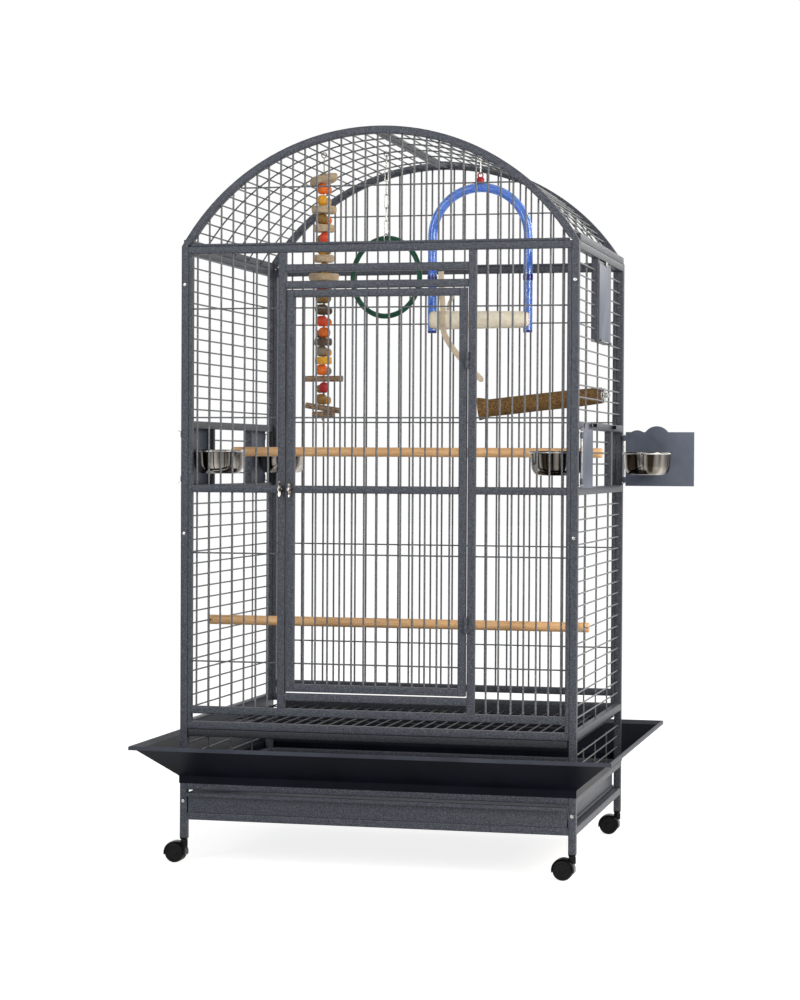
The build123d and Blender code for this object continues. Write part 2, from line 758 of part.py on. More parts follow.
def plug(x, y):
    square = ((-1, -1), (1, -1), (1, 1), (-1, 1))
    ends = ((plug_high, half_tube - plug_taper), (leg_bottom, half_tube))
    cap = skin([[(half * i, half * j, z) for i, j in square] for z, half in ends])
    core = half_tube - tube_wall - touch
    spigot = block(-core, core, -core, core, leg_bottom, leg_bottom + spigot_tall)
    stem_low = swivel_low + stem_clear
    stem = pin(0, 0, stem_low, (0, 0, 1), stem_r, plug_high - stem_low)
    return Pos(x, y, 0) * (cap + spigot + stem)


# The hood wraps the wheels from behind, over the top and down to the swivel.
def hood(x, y):
    room = RegularPolygon(hood_r - hood_wall, hood_sides)
    cover = RegularPolygon(hood_r, hood_sides) - room
    cover &= Pos(0, cover_lift) * Rectangle(2 * hood_r, cover_tall)
    web = room & Pos(0, cover_lift) * Rectangle(2 * hood_r, web_tall)
    web -= RegularPolygon(axle_r + run_fit, 8, major_radius=False)
    side_on = Plane((-caster_trail, 0, wheel_r), x_dir=(1, 0, 0), z_dir=(0, -1, 0))
    body = extrude(side_on * cover, amount=hood_half, both=True)
    body += extrude(side_on * web, amount=web_half, both=True)
    socket_low = swivel_low - plug_tall
    socket = turned(0, 0, socket_low, (0, 0, 1), swivel_r, plug_high - slide_gap - socket_low, 10)
    body += socket - extrude(side_on * room, amount=hood_half, both=True)
    return Pos(x, y, 0) * (body - bore(0, 0, swivel_low, (0, 0, 1), stem_r, leg_bottom - swivel_low))


def wheels(x, y):
    inner = web_half + wheel_clear
    parts = [pin(-caster_trail, -inner, wheel_r, (0, 1, 0), axle_r, 2 * inner)]
    for s in (-1, 1):
        parts.append(turned(-caster_trail, s * inner, wheel_r, (0, s, 0), wheel_r, wheel_wide, 18))
    return [Pos(x, y, 0) * p for p in parts]


plugs = []
caster_words = ("front_left", "front_right", "rear_left", "rear_right")
for word, (x, y) in zip(caster_words, corners(side_x, face_y)):
    plugs.append(plug(x, y))
    keep("caster_hood_" + word, hood(x, y))
    keep("caster_wheels_" + word, wheels(x, y))
keep("leg_plugs", plugs)

# Bolt heads on the front and back faces of the posts.
bolt_r = 5.0
bolt_high = 3.0
bolt_zs = (transom_z - 2 * tube, mid_rail_z - 6 * tube, (low_rail_z + base_rail_z) / 2)
bolts = []
for side in (-1, 1):
    for end in (-1, 1):
        for z in bolt_zs:
            face = Plane((side * side_x, end * half_d, z), z_dir=(0, end, 0))
            bolts.append(extrude(face * RegularPolygon(bolt_r, 6), amount=bolt_high))
keep("post_bolts", bolts)

# Perches: two dowels slotted on to the side wires and one branch bolted through the right side.
dowel_r = 12.5
dowel_past = 3.0
slot_past = 0.5
dowel_end = wire_outer_x + dowel_past
slot_end = wire_inner_x - slot_past
upper_perch = (30.0, middle_wires[2])
lower_perch = (-165.0, lower_wires[7])


def dowel(y, z):
    body = turned(-dowel_end, y, z, (1, 0, 0), dowel_r, 2 * dowel_end, 16)
    for s in (-1, 1):
        body -= block(s * dowel_end, s * slot_end, y - 2 * dowel_r, y + 2 * dowel_r,
                      z - wire_half - slide_gap, z + wire_half + slide_gap)
    return body


keep("perch_dowels", dowel(*upper_perch), dowel(*lower_perch))

branch_y = 80.0
branch_z = (upper_wires[1] + upper_wires[2]) / 2
branch_long = 330.0
washer = 2.0
washer_r = 20.0
branch_bolt_r = 3.0
bolt_in = 39.0
bolt_past = 14.0
nut_r = 7.0
nut_thick = 8.0
nut_wing = 16.0
branch_root = wire_inner_x - washer
# Along the branch, from its root: share of the length, drop, sideways set and radius.
branch_form = ((0, 0, 0, 21), (0.22, 8, 3, 24), (0.5, 22, -4, 22), (0.78, 36, 3, 24), (1, 46, 0, 20))
slices = []
for share, drop, set_over, radius in branch_form:
    spot = (branch_root - share * branch_long, branch_y + set_over, branch_z - drop)
    turns = [2 * pi * i / 8 for i in range(8)]
    slices.append([(spot[0], spot[1] + radius * cos(a), spot[2] + radius * sin(a)) for a in turns])
branch = skin(slices)
nut_x = wire_outer_x + washer
bolt_hole = branch_bolt_r + touch


def washer_disc(x):
    disc = RegularPolygon(washer_r, 10) - RegularPolygon(bolt_hole, 6)
    return extrude(Plane((x, branch_y, branch_z), x_dir=(0, 1, 0), z_dir=(1, 0, 0)) * disc, amount=washer)


def hex_x(x0, x1, radius):
    face = Plane((x0, branch_y, branch_z), x_dir=(0, 1, 0), z_dir=(1, 0, 0)) * RegularPolygon(radius, 6)
    return extrude(face, amount=x1 - x0)


branch -= hex_x(branch_root - bolt_in - slide_gap, branch_root, bolt_hole)
wing_nut = hex_x(nut_x, nut_x + nut_thick, nut_r)
wing_nut += block(nut_x + nut_thick / 2, nut_x + nut_thick, branch_y - nut_wing, branch_y + nut_wing,
                  branch_z - nut_thick / 2, branch_z + nut_thick / 2)
wing_nut -= hex_x(nut_x, nut_x + nut_thick, bolt_hole)
keep("branch_perch", branch)
keep(
    "branch_fixing",
    hex_x(branch_root - bolt_in, nut_x + bolt_past, branch_bolt_r),
    washer_disc(branch_root),
    washer_disc(wire_outer_x),
    wing_nut,
)

# Hung toys. Each hangs from a roof rod by a round eye.
eye_in = 5.0
eye_wire = 3.0
eye_out = eye_in + eye_wire
eye_drop = eye_in - wire_flat / sqrt(2) - loose


def rod_spot(side, index):
    angle = rod_angles[index]
    return side * arch_mid * sin(angle), arch_z + arch_mid * cos(angle)


def hang_eye(x, y, z):
    ring = RegularPolygon(eye_out, 8, major_radius=False) - RegularPolygon(eye_in, 8, major_radius=False)
    face = Plane((x, y + eye_wire / 2, z - eye_drop), x_dir=(1, 0, 0), z_dir=(0, -1, 0))
    return extrude(face * ring, amount=eye_wire)


# One chain link, with its long axis upright. Turned links lie across their neighbours.
link_wire = 2.4
link_half = 20.0
link_wide = 5.5
link_cut = 3.0


def link_ring(grow):
    w = link_wide + grow
    h = link_half + grow
    c = link_cut
    return Polygon((-w, -h + c), (-w + c, -h), (w - c, -h), (w, -h + c), (w, h - c), (w - c, h), (-w + c, h),
                   (-w, h - c), align=None)


def link(x, y, top, turn):
    body = extrude(link_ring(0) - link_ring(-link_wire), amount=link_wire / 2, both=True)
    return Pos(x, y, top - link_half) * Rot(90, 0, 0) * Rot(0, turn, 0) * body


# A bent round tube about Y, in mitred lengths. Angles run from +X towards +Z.
def bent_tube(radius, thick, start, end, count):
    step = (end - start) / count
    reach = (radius + thick) * tan(step / 2)
    whole = []
    for i in range(count):
        middle = start + (i + 0.5) * step
        out = (cos(middle), 0, sin(middle))
        along = (-sin(middle), 0, cos(middle))
        spot = Plane([radius * c - reach * a for c, a in zip(out, along)], x_dir=out, z_dir=along)
        ring = RegularPolygon(thick, 8, major_radius=False, rotation=22.5)
        length = extrude(spot * ring, amount=2 * reach)
        for angle, keep_side in ((middle - step / 2, Keep.TOP), (middle + step / 2, Keep.BOTTOM)):
            mitre = Plane((0, 0, 0), z_dir=(-sin(angle), 0, cos(angle)))
            length = split(length, bisect_by=mitre, keep=keep_side)
        whole.append(length)
    return whole[0].fuse(*whole[1:])


# Ring swing: chain links down to a large hoop.
hoop_y = 24.0
hoop_x, hoop_rod_z = rod_spot(-1, 1)
hoop_r = 103.0
hoop_thick = 7.0
hoop_turn = -17.0
hoop_lengths = 18
link_step = 2 * (link_half - link_wire) - 2 * loose
link_count = 6
chain_top = hoop_rod_z - eye_drop - eye_in + link_wire + loose
chain = [hang_eye(hoop_x, hoop_y, hoop_rod_z)]
chain += [link(hoop_x, hoop_y, chain_top - i * link_step, 90 * ((i + 1) % 2)) for i in range(link_count)]
keep("hoop_chain", chain)

# The hoop hangs in a round ring that also holds the last link.
hoop_ring_in = 9.5
last_low = chain_top - (link_count - 1) * link_step - 2 * link_half
hoop_corner = hoop_thick / cos(pi / 8)
hoop_top = last_low + link_wire + loose - 2 * hoop_ring_in + loose + hoop_corner
hoop_ring_z = hoop_top - hoop_corner - loose + hoop_ring_in
ring_face = Plane((hoop_x, hoop_y, hoop_ring_z), x_dir=(0, 1, 0), z_dir=(1, 0, 0)) * Rot(0, hoop_turn, 0)
hoop_ring = RegularPolygon(hoop_ring_in + eye_wire, 10) - RegularPolygon(hoop_ring_in, 10, major_radius=False)
chain.append(extrude(ring_face * hoop_ring, amount=eye_wire / 2, both=True))
keep("hoop_chain", chain)
hoop_stand = Pos(hoop_x, hoop_y, hoop_top - hoop_r) * Rot(0, 0, hoop_turn)
keep("hoop", hoop_stand * bent_tube(hoop_r, hoop_thick, 0, 2 * pi, hoop_lengths))

# Bead toy: wood slices, turned beads and sticks threaded on one cord, listed from the top down.
bead_y = -177.0
bead_x, bead_rod_z = rod_spot(-1, 5)
cord_r = 1.5
cord_top = bead_rod_z - eye_drop - eye_out - touch
stack_drop = 55.0
stack_top = bead_rod_z - stack_drop
cord_hole = cord_r + loose
slice_high = 18.0
bead_high = 29.5
bead_cut = 8.25
stick_r = 8.0
# Each entry is the piece's form and its radius, or half length for a stick.
bead_order = (
    ("slice", 40), ("bead", 15), ("bead", 14), ("slice", 36), ("bead", 16), ("slice", 30), ("bead", 14),
    ("bead", 14), ("slice", 30), ("bead", 14), ("slice", 43), ("bead", 16), ("bead", 19), ("bead", 19),
    ("bead", 17), ("bead", 17), ("slice", 26), ("bead", 17), ("slice", 24), ("bead", 17), ("stick", 52),
    ("bead", 14), ("bead", 16), ("stick", 46), ("stick", 28),
)


def bead_piece(form, size, top):
    low = top - 2 * bead_high
    hole = block(bead_x - cord_hole, bead_x + cord_hole, bead_y - cord_hole, bead_y + cord_hole, low, top)
    if form == "slice":
        body = extrude(Plane((bead_x, bead_y, top - slice_high)) * RegularPolygon(size, 8), amount=slice_high)
        return body - hole, slice_high
    if form == "bead":
        body = extrude(Plane((bead_x, bead_y, top - bead_high)) * RegularPolygon(size, 6), amount=bead_high)
        ends = body.edges().group_by(Axis.Z)
        return chamfer(ends[0] + ends[-1], bead_cut) - hole, bead_high
    spot = Plane((bead_x - size, bead_y, top - stick_r), x_dir=(0, 1, 0), z_dir=(1, 0, 0))
    body = extrude(spot * RegularPolygon(stick_r, 8, major_radius=False, rotation=22.5), amount=2 * size)
    return body - hole, 2 * stick_r


bead_stack = []
level = stack_top
for form, size in bead_order:
    piece, high = bead_piece(form, size, level)
    bead_stack.append(piece)
    level -= high + slide_gap
knot_high = 8.0
knot_r = 4.5
tail = 24.0
cord = turned(bead_x, bead_y, level - tail, (0, 0, 1), cord_r, cord_top - level + tail, 6)
cord += turned(bead_x, bead_y, level - knot_high, (0, 0, 1), knot_r, knot_high, 6)
keep("bead_cord", hang_eye(bead_x, bead_y, bead_rod_z), cord)
keep("bead_stack", bead_stack)

# Arch swing: a bent clear tube with a thick perch across its legs.
swing_y = -42.0
swing_x, swing_rod_z = rod_spot(1, 5)
bow_r = 125.0
bow_tube = 12.0
bow_leg = 250.0
bow_link_top = swing_rod_z - eye_drop - eye_in + link_wire + loose
lug_z = bow_link_top - 2 * link_half + link_wire + loose - eye_in
lug_high = 14.0
lug_r = 11.0
lug_lap = 2.0
bow_top = lug_z - eye_in - lug_high
bow_bends = 10
bow_z = bow_top - touch - (bow_r + bow_tube) / cos(pi / bow_bends / 2)
bow = Pos(swing_x, swing_y, bow_z) * bent_tube(bow_r, bow_tube, 0, pi, bow_bends)
for side in (-1, 1):
    foot = Plane((swing_x + side * bow_r, swing_y, bow_z - bow_leg))
    bow += extrude(foot * RegularPolygon(bow_tube, 8, major_radius=False, rotation=22.5), amount=bow_leg)
keep("swing_bow", bow)
lug_ring = hang_eye(swing_x, swing_y, lug_z + eye_drop)
lug = turned(swing_x, swing_y, bow_top, (0, 0, 1), lug_r, lug_high + lug_lap, 8)
swing_eye = hang_eye(swing_x, swing_y, swing_rod_z)
keep("swing_hanger", swing_eye, link(swing_x, swing_y, bow_link_top, 90), lug + lug_ring)
swing_perch_r = 21.0
swing_perch_rise = 34.0
swing_perch_past = 2.0
swing_perch_z = bow_z - bow_leg + swing_perch_rise
swing_perch_end = bow_r + bow_tube + swing_perch_past
perch_start = swing_x - swing_perch_end
swing_perch = turned(perch_start, swing_y, swing_perch_z, (1, 0, 0), swing_perch_r, 2 * swing_perch_end, 14)
for side in (-1, 1):
    leg_hole = Plane((swing_x + side * bow_r, swing_y, swing_perch_z))
    leg_shape = RegularPolygon(bow_tube + touch, 8, major_radius=False, rotation=22.5)
    swing_perch -= extrude(leg_hole * leg_shape, amount=2 * swing_perch_r, both=True)
keep("swing_perch", swing_perch)

os.makedirs("parts", exist_ok=True)
for name, solids in nodes.items():
    whole = Compound(children=[s for item in solids for s in item.solids()])
    export_step(whole, "parts/" + name + ".step")
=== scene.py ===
import bmesh
import bpy
import json
import math
from mathutils import Matrix, Vector, noise

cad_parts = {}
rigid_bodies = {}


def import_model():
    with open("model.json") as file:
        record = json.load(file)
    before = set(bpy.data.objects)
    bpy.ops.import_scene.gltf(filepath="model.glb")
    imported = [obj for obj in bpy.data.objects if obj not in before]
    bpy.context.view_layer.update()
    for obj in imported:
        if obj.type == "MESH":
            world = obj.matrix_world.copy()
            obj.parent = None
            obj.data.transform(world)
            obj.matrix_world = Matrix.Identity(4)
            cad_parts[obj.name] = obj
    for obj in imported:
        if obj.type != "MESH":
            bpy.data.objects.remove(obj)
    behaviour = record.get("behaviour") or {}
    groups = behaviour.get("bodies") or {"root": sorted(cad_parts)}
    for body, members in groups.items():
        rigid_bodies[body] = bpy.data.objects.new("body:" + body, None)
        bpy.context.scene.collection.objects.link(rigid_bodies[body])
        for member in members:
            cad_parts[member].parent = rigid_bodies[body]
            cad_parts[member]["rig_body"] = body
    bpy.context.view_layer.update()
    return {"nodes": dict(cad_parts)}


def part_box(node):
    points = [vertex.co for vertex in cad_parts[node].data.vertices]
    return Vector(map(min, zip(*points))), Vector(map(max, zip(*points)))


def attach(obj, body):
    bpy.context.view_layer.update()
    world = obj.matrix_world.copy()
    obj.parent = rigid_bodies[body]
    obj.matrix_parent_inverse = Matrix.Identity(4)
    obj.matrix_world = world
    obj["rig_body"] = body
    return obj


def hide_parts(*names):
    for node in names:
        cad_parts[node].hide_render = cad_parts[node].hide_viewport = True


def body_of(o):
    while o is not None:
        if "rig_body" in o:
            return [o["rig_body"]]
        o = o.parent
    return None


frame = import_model()
nodes = frame["nodes"]
fullTurn = 2 * math.pi
print("frame:", len(nodes), "nodes")


def putObject(name, data):
    made = bpy.data.objects.new(name, data)
    bpy.context.scene.collection.objects.link(made)
    return made


# camera, at the spot that the photograph was taken from
cameraSet = {
    "place": (1.44606, -6.05501, 1.024),
    "yaw": 0.239,    # radians, from +Y towards -X
    "pitch": 0.017,  # radians, downwards
    "roll": 0.005,
    "lens": 84.99,
}


def addCamera(s):
    level = math.cos(s["pitch"])
    ahead = Vector((-math.sin(s["yaw"]) * level, math.cos(s["yaw"]) * level, -math.sin(s["pitch"])))
    right = Vector((math.cos(s["yaw"]), math.sin(s["yaw"]), 0))
    above = right.cross(ahead)
    tilt = Matrix.Rotation(-s["roll"], 3, ahead)
    turn = Matrix((tilt @ right, tilt @ above, -ahead)).transposed()
    data = bpy.data.cameras.new("photoCamera")
    data.lens = s["lens"]
    camera = putObject("photoCamera", data)
    camera.matrix_world = Matrix.Translation(s["place"]) @ turn.to_4x4()
    bpy.context.scene.camera = camera


addCamera(cameraSet)


# node helpers for the finishes
def srgb(red, green, blue):
    shares = [c / 255 for c in (red, green, blue)]
    return tuple(c / 12.92 if c < 0.04045 else ((c + 0.055) / 1.055) ** 2.4 for c in shares) + (1,)


def addNode(tree, kind, inputs=None, **fields):
    made = tree.nodes.new("ShaderNode" + kind)
    for field, value in fields.items():
        setattr(made, field, value)
    for socket, value in (inputs or {}).items():
        if isinstance(value, bpy.types.NodeSocket):
            tree.links.new(value, made.inputs[socket])
        else:
            made.inputs[socket].default_value = value
    return made


def placeCoords(tree, stretch=(1, 1, 1)):
    spot = addNode(tree, "TexCoord").outputs["Object"]
    return addNode(tree, "Mapping", {"Vector": spot, "Scale": stretch}).outputs[0]


def newFinish(name, stretch=(1, 1, 1)):
    finish = bpy.data.materials.new(name)
    finish.use_nodes = True
    tree = finish.node_tree
    return finish, tree, tree.nodes["Principled BSDF"], placeCoords(tree, stretch)


def addNoise(tree, coords, scale, detail=2.0, rough=0.5, distortion=0.0):
    values = {"Vector": coords, "Scale": scale, "Detail": detail, "Roughness": rough, "Distortion": distortion}
    return addNode(tree, "TexNoise", values).outputs[0]


def addCells(tree, coords, scale, feature="F1"):
    return addNode(tree, "TexVoronoi", {"Vector": coords, "Scale": scale}, feature=feature).outputs["Distance"]


def addRamp(tree, share, stops):
    ramp = addNode(tree, "ValToRGB", {"Fac": share})
    points = ramp.color_ramp.elements
    while len(points) < len(stops):
        points.new(0.5)
    for point, (place, colour) in zip(points, stops):
        point.position = place
        point.color = srgb(*colour)
    return ramp.outputs["Color"]


def addSpread(tree, share, low, high, start=0.0, end=1.0):
    values = {"Value": share, "From Min": start, "From Max": end, "To Min": low, "To Max": high}
    return addNode(tree, "MapRange", values).outputs["Result"]


def addMath(tree, first, second, operation):
    return addNode(tree, "Math", {0: first, 1: second}, operation=operation).outputs[0]


def addMean(tree, first, second):
    return addMath(tree, addMath(tree, first, second, "ADD"), 0.5, "MULTIPLY")


def addBump(tree, shader, height, depth, strength=1.0):
    values = {"Height": height, "Distance": depth, "Strength": strength}
    tree.links.new(addNode(tree, "Bump", values).outputs[0], shader.inputs["Normal"])


def addCoat(tree, shader, tone, stops, wear, smooth, rough, gloss=0.5):
    tree.links.new(addRamp(tree, tone, stops), shader.inputs["Base Color"])
    tree.links.new(addSpread(tree, wear, smooth, rough), shader.inputs["Roughness"])
    shader.inputs["Specular IOR Level"].default_value = gloss


# the finishes, with colours as red, green and blue from 0 to 255
def hammerPaint(name, dark, mid, fleck, grain, depth, shine=0.42):
    finish, tree, shader, coords = newFinish(name)
    cells = addCells(tree, coords, grain)
    cloud = addNoise(tree, coords, grain * 0.7, 3, 0.65)
    speckle = addMean(tree, cells, cloud)
    stops = ((0.34, dark), (0.5, mid), (0.62, fleck))
    addCoat(tree, shader, speckle, stops, cloud, shine - 0.1, shine + 0.12, 0.22)
    addBump(tree, shader, speckle, depth, 0.5)
    return finish


def addSpray(tree, shader, coords, tone, stops, cloud, shine, gloss):  # paint with a faint ripple
    addCoat(tree, shader, tone, stops, cloud, shine - 0.06, shine + 0.1, gloss)
    addBump(tree, shader, addNoise(tree, coords, 320, 2, 0.5), 0.0002, 0.35)


def smoothPaint(name, dark, light, shine, gloss=0.15):
    finish, tree, shader, coords = newFinish(name)
    cloud = addNoise(tree, coords, 9, 4, 0.6)
    addSpray(tree, shader, coords, cloud, ((0.3, dark), (0.7, light)), cloud, shine, gloss)
    return finish


# sheet paint with a painted highlight: a paler band from a given height up, where a folded lip catches the light
def lipHighlightPaint(name, dark, light, lipHighlightDark, lipHighlightLight, lipHighlightAt, shine, gloss, blend=0.0006):
    finish, tree, shader, coords = newFinish(name)
    cloud = addNoise(tree, coords, 9, 4, 0.6)
    height = addNode(tree, "SeparateXYZ", {0: coords}).outputs["Z"]
    # painted highlight: from this height up the ramp moves to the paler lip colours
    rim = addSpread(tree, height, 0.0, 0.5, lipHighlightAt - blend, lipHighlightAt + blend)
    share = addNode(tree, "Math", {0: cloud, 1: 0.5, 2: rim}, operation="MULTIPLY_ADD").outputs[0]
    stops = ((0.15, dark), (0.35, light), (0.65, lipHighlightDark), (0.85, lipHighlightLight))
    addSpray(tree, shader, coords, share, stops, cloud, shine, gloss)
    return finish


def brightMetal(name, dark, light, shine, stretch, toneAndReflectionStretch=(1, 1, 1), patch=40):
    finish, tree, shader, coords = newFinish(name, stretch)
    brushed = addNoise(tree, coords, 260, 3, 0.6)
    # the cloud spreads the colour from dark to light: real tone on zinc; on the cup and latch the wide spread is
    # painted reflection, dark and bright patches standing in for reflected surroundings
    cloud = addNoise(tree, placeCoords(tree, toneAndReflectionStretch), patch, 2, 0.5)
    addCoat(tree, shader, cloud, ((0.42, dark), (0.66, light)), brushed, shine - 0.04, shine + 0.08)
    shader.inputs["Metallic"].default_value = 1.0
    addBump(tree, shader, brushed, 0.00005, 0.3)
    return finish


def mouldedPlastic(name, dark, light, shine, gloss=0.3):
    finish, tree, shader, coords = newFinish(name)
    cloud = addNoise(tree, coords, 30, 3, 0.6)
    pores = addNoise(tree, coords, 900, 2, 0.5)
    addCoat(tree, shader, cloud, ((0.35, dark), (0.7, light)), cloud, shine - 0.05, shine + 0.12, gloss)
    addBump(tree, shader, pores, 0.0001, 0.25)
    return finish


def sawnWood(name, dark, light, stretch, grain, shine=0.55):
    finish, tree, shader, coords = newFinish(name, stretch)
    streaks = addNoise(tree, coords, grain, 6, 0.65, 0.6)
    pores = addNoise(tree, coords, grain * 4, 3, 0.7)
    fibre = addMean(tree, streaks, pores)
    addCoat(tree, shader, fibre, ((0.34, dark), (0.62, light)), pores, shine - 0.08, shine + 0.15)
    addBump(tree, shader, fibre, 0.0004, 0.4)
    return finish


def roughBark(name, dark, mid, light, stretch):
    finish, tree, shader, coords = newFinish(name, stretch)
    plates = addCells(tree, coords, 320)
    cloud = addNoise(tree, coords, 210, 6, 0.7, 0.8)
    crust = addMath(tree, plates, cloud, "ADD")
    addCoat(tree, shader, crust, ((0.6, dark), (0.88, mid), (1.0, light)), cloud, 0.75, 0.95)
    addBump(tree, shader, crust, 0.0009, 0.7)
    return finish


def castCement(name, dark, light):
    finish, tree, shader, coords = newFinish(name)
    sand = addNoise(tree, coords, 700, 4, 0.75)
    cloud = addNoise(tree, coords, 45, 4, 0.6)
    grit = addMean(tree, sand, cloud)
    addCoat(tree, shader, grit, ((0.35, dark), (0.62, light)), sand, 0.8, 0.95)
    addBump(tree, shader, grit, 0.0012, 0.7)
    return finish


def clearAcrylic(name, dark, light, passes):
    finish, tree, shader, coords = newFinish(name)
    cloud = addNoise(tree, coords, 60, 3, 0.6)
    addCoat(tree, shader, cloud, ((0.3, dark), (0.7, light)), cloud, 0.06, 0.16)
    shader.inputs["Transmission Weight"].default_value = passes
    shader.inputs["IOR"].default_value = 1.45
    shader.inputs["Coat Weight"].default_value = 0.4
    return finish


finishes = {
    "frame": hammerPaint("hammerPaint", (40, 43, 50), (54, 58, 67), (84, 88, 98), 520, 0.0003),
    "bar": hammerPaint("barPaint", (54, 56, 60), (80, 83, 88), (120, 123, 128), 560, 0.0002, 0.34),
    "grate": hammerPaint("gratePaint", (20, 21, 25), (34, 36, 42), (62, 65, 72), 700, 0.0002, 0.45),
    "guard": lipHighlightPaint("guardPaint", (10, 12, 19), (18, 20, 31), (52, 55, 64), (66, 69, 80),
                        0.2936, 0.36, 0.05),  # painted highlight: paler from the folded lip up, where the rolled lip catches the light
    "plate": smoothPaint("platePaint", (74, 81, 96), (92, 100, 117), 0.42),
    # painted reflection: near-black to bright steel in tall streaks, standing in for the dark and bright
    # surroundings the cup reflects
    "cup": brightMetal("cupSteel", (44, 37, 30), (196, 190, 182), 0.06, (1, 1, 6), (1, 1, 0.12), 24),
    "zinc": brightMetal("zincSteel", (150, 150, 150), (200, 200, 198), 0.24, (3, 1, 1)),
    # painted reflection: dark and bright patches on the steel stand in for reflections and bright wing tips
    "latch": brightMetal("latchSteel", (58, 54, 48), (214, 210, 204), 0.16, (1, 1, 1), (2, 2, 2), 45),
    "hood": mouldedPlastic("casterBlack", (12, 12, 14), (20, 20, 23), 0.2, 0.1),
    "tyre": mouldedPlastic("tyreBlack", (14, 14, 15), (24, 24, 26), 0.42, 0.12),
    "dowel": sawnWood("paleWood", (194, 146, 98), (232, 190, 140), (6, 90, 90), 2.2),
    "slice": sawnWood("sliceWood", (140, 118, 92), (204, 184, 154), (50, 50, 90), 2.0, 0.75),
    "leather": sawnWood("strapLeather", (176, 160, 136), (218, 204, 182), (90, 90, 40), 2.0, 0.8),
    "bark": roughBark("branchBark", (34, 22, 8), (68, 47, 18), (112, 83, 40), (0.6, 1, 1)),
    "stick": roughBark("stickBark", (54, 40, 30), (104, 82, 64), (150, 126, 104), (0.6, 1, 1)),
    "cut": sawnWood("cutEnd", (96, 88, 78), (150, 140, 126), (60, 60, 60), 3.0, 0.8),
    "green": mouldedPlastic("hoopGreen", (4, 62, 42), (14, 92, 66), 0.3),
    "cord": sawnWood("toyCord", (120, 112, 102), (176, 168, 154), (300, 300, 900), 1.0, 0.85),
    "blue": clearAcrylic("bowBlue", (92, 146, 236), (134, 182, 250), 0.66),
    "deepBlue": clearAcrylic("couplingBlue", (10, 24, 110), (20, 44, 150), 0.2),
    "red": mouldedPlastic("connectorRed", (140, 12, 22), (186, 24, 34), 0.3),
    "cement": castCement("perchCement", (216, 207, 186), (248, 242, 226)),
}
beadColours = {
    "orange": ((196, 74, 10), (238, 120, 26)),
    "yellow": ((196, 132, 16), (236, 176, 44)),
    "scarlet": ((176, 40, 16), (226, 78, 34)),
    "crimson": ((120, 12, 16), (186, 26, 30)),
    "umber": ((48, 32, 16), (90, 64, 34)),
    "olive": ((96, 72, 26), (150, 112, 48)),
    "ash": ((96, 86, 70), (146, 132, 110)),
    "honey": ((168, 104, 26), (214, 150, 60)),
}
for word, (dark, light) in beadColours.items():
    finishes[word] = sawnWood(word + "Bead", dark, light, (30, 30, 60), 3.0, 0.5)
print("finishes:", len(finishes))


# mesh helpers
def looseParts(name):
    mesh = nodes[name].data
    spots = [tuple(round(c, 6) for c in v.co) for v in mesh.vertices]
    faces = [tuple(spots[i] for i in p.vertices) for p in mesh.polygons]
    faces = [f for f in faces if len(set(f)) > 2]
    edges = {}
    for n, face in enumerate(faces):
        for a, b in zip(face, face[1:] + face[:1]):
            edges.setdefault(frozenset((a, b)), []).append(n)
    root = list(range(len(faces)))

    def top(n):
        while root[n] != n:
            n = root[n]
        return n

    for pair in edges.values():
        if len(pair) == 2:  # pieces that only touch share an edge of four faces
            root[top(pair[0])] = top(pair[1])
    groups = {}
    for n, face in enumerate(faces):
        groups.setdefault(top(n), []).append(face)
    return list(groups.values())


def cornersOf(part):
    return [Vector(p) for p in dict.fromkeys(p for face in part for p in face)]


def boxOf(points):
    low = Vector([min(p[i] for p in points) for i in range(3)])
    high = Vector([max(p[i] for p in points) for i in range(3)])
    return low, high


def solidsOf(name):
    for part in looseParts(name):
        points = cornersOf(part)
        yield part, points, *boxOf(points)


def boxesDown(name):
    return sorted((solid[2:] for solid in solidsOf(name)), key=lambda box: -box[1].z)


def boxCentre(name):
    low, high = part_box(name)
    return (low + high) / 2


def addLoft(mesh, rings, closed=False, caps=True):
    made = [[mesh.verts.new(p) for p in ring] for ring in rings]
    spans = zip(made, made[1:] + made[:1]) if closed else zip(made, made[1:])
    faces = []
    for low, high in spans:
        for k in range(len(low)):
            j = (k + 1) % len(low)
            faces.append(mesh.faces.new((low[k], low[j], high[j], high[k])))
    if caps and not closed:
        faces.append(mesh.faces.new(made[0][::-1]))
        faces.append(mesh.faces.new(made[-1]))
    return faces


def circlePoints(centre, radius, steps, flat=(1, 0, 0), other=(0, 0, 1)):
    turns = [fullTurn * k / steps for k in range(steps)]
    return [centre + (Vector(flat) * math.cos(a) + Vector(other) * math.sin(a)) * radius for a in turns]


def tubeRings(points, radii, sides=12, closed=False):
    points = [Vector(p) for p in points]
    last = len(points) - 1
    radii = radii if hasattr(radii, "__len__") else [radii] * len(points)
    rings = []
    side = None
    for i, point in enumerate(points):
        ahead = points[(i + 1) % len(points)] if closed or i < last else point
        behind = points[i - 1] if closed or i > 0 else point
        along = (ahead - behind).normalized()
        side = along.orthogonal() if side is None else side
        side = (side - along * side.dot(along)).normalized()
        rings.append(circlePoints(point, radii[i], sides, side, along.cross(side)))
    return rings


def addTube(mesh, points, radii, sides=12, closed=False):
    return addLoft(mesh, tubeRings(points, radii, sides, closed), closed)


def addEye(mesh, centre, radius, wire, turn=0.0, steps=36):
    addTube(mesh, circlePoints(centre, radius, steps, (math.cos(turn), math.sin(turn), 0)), wire, 12, True)


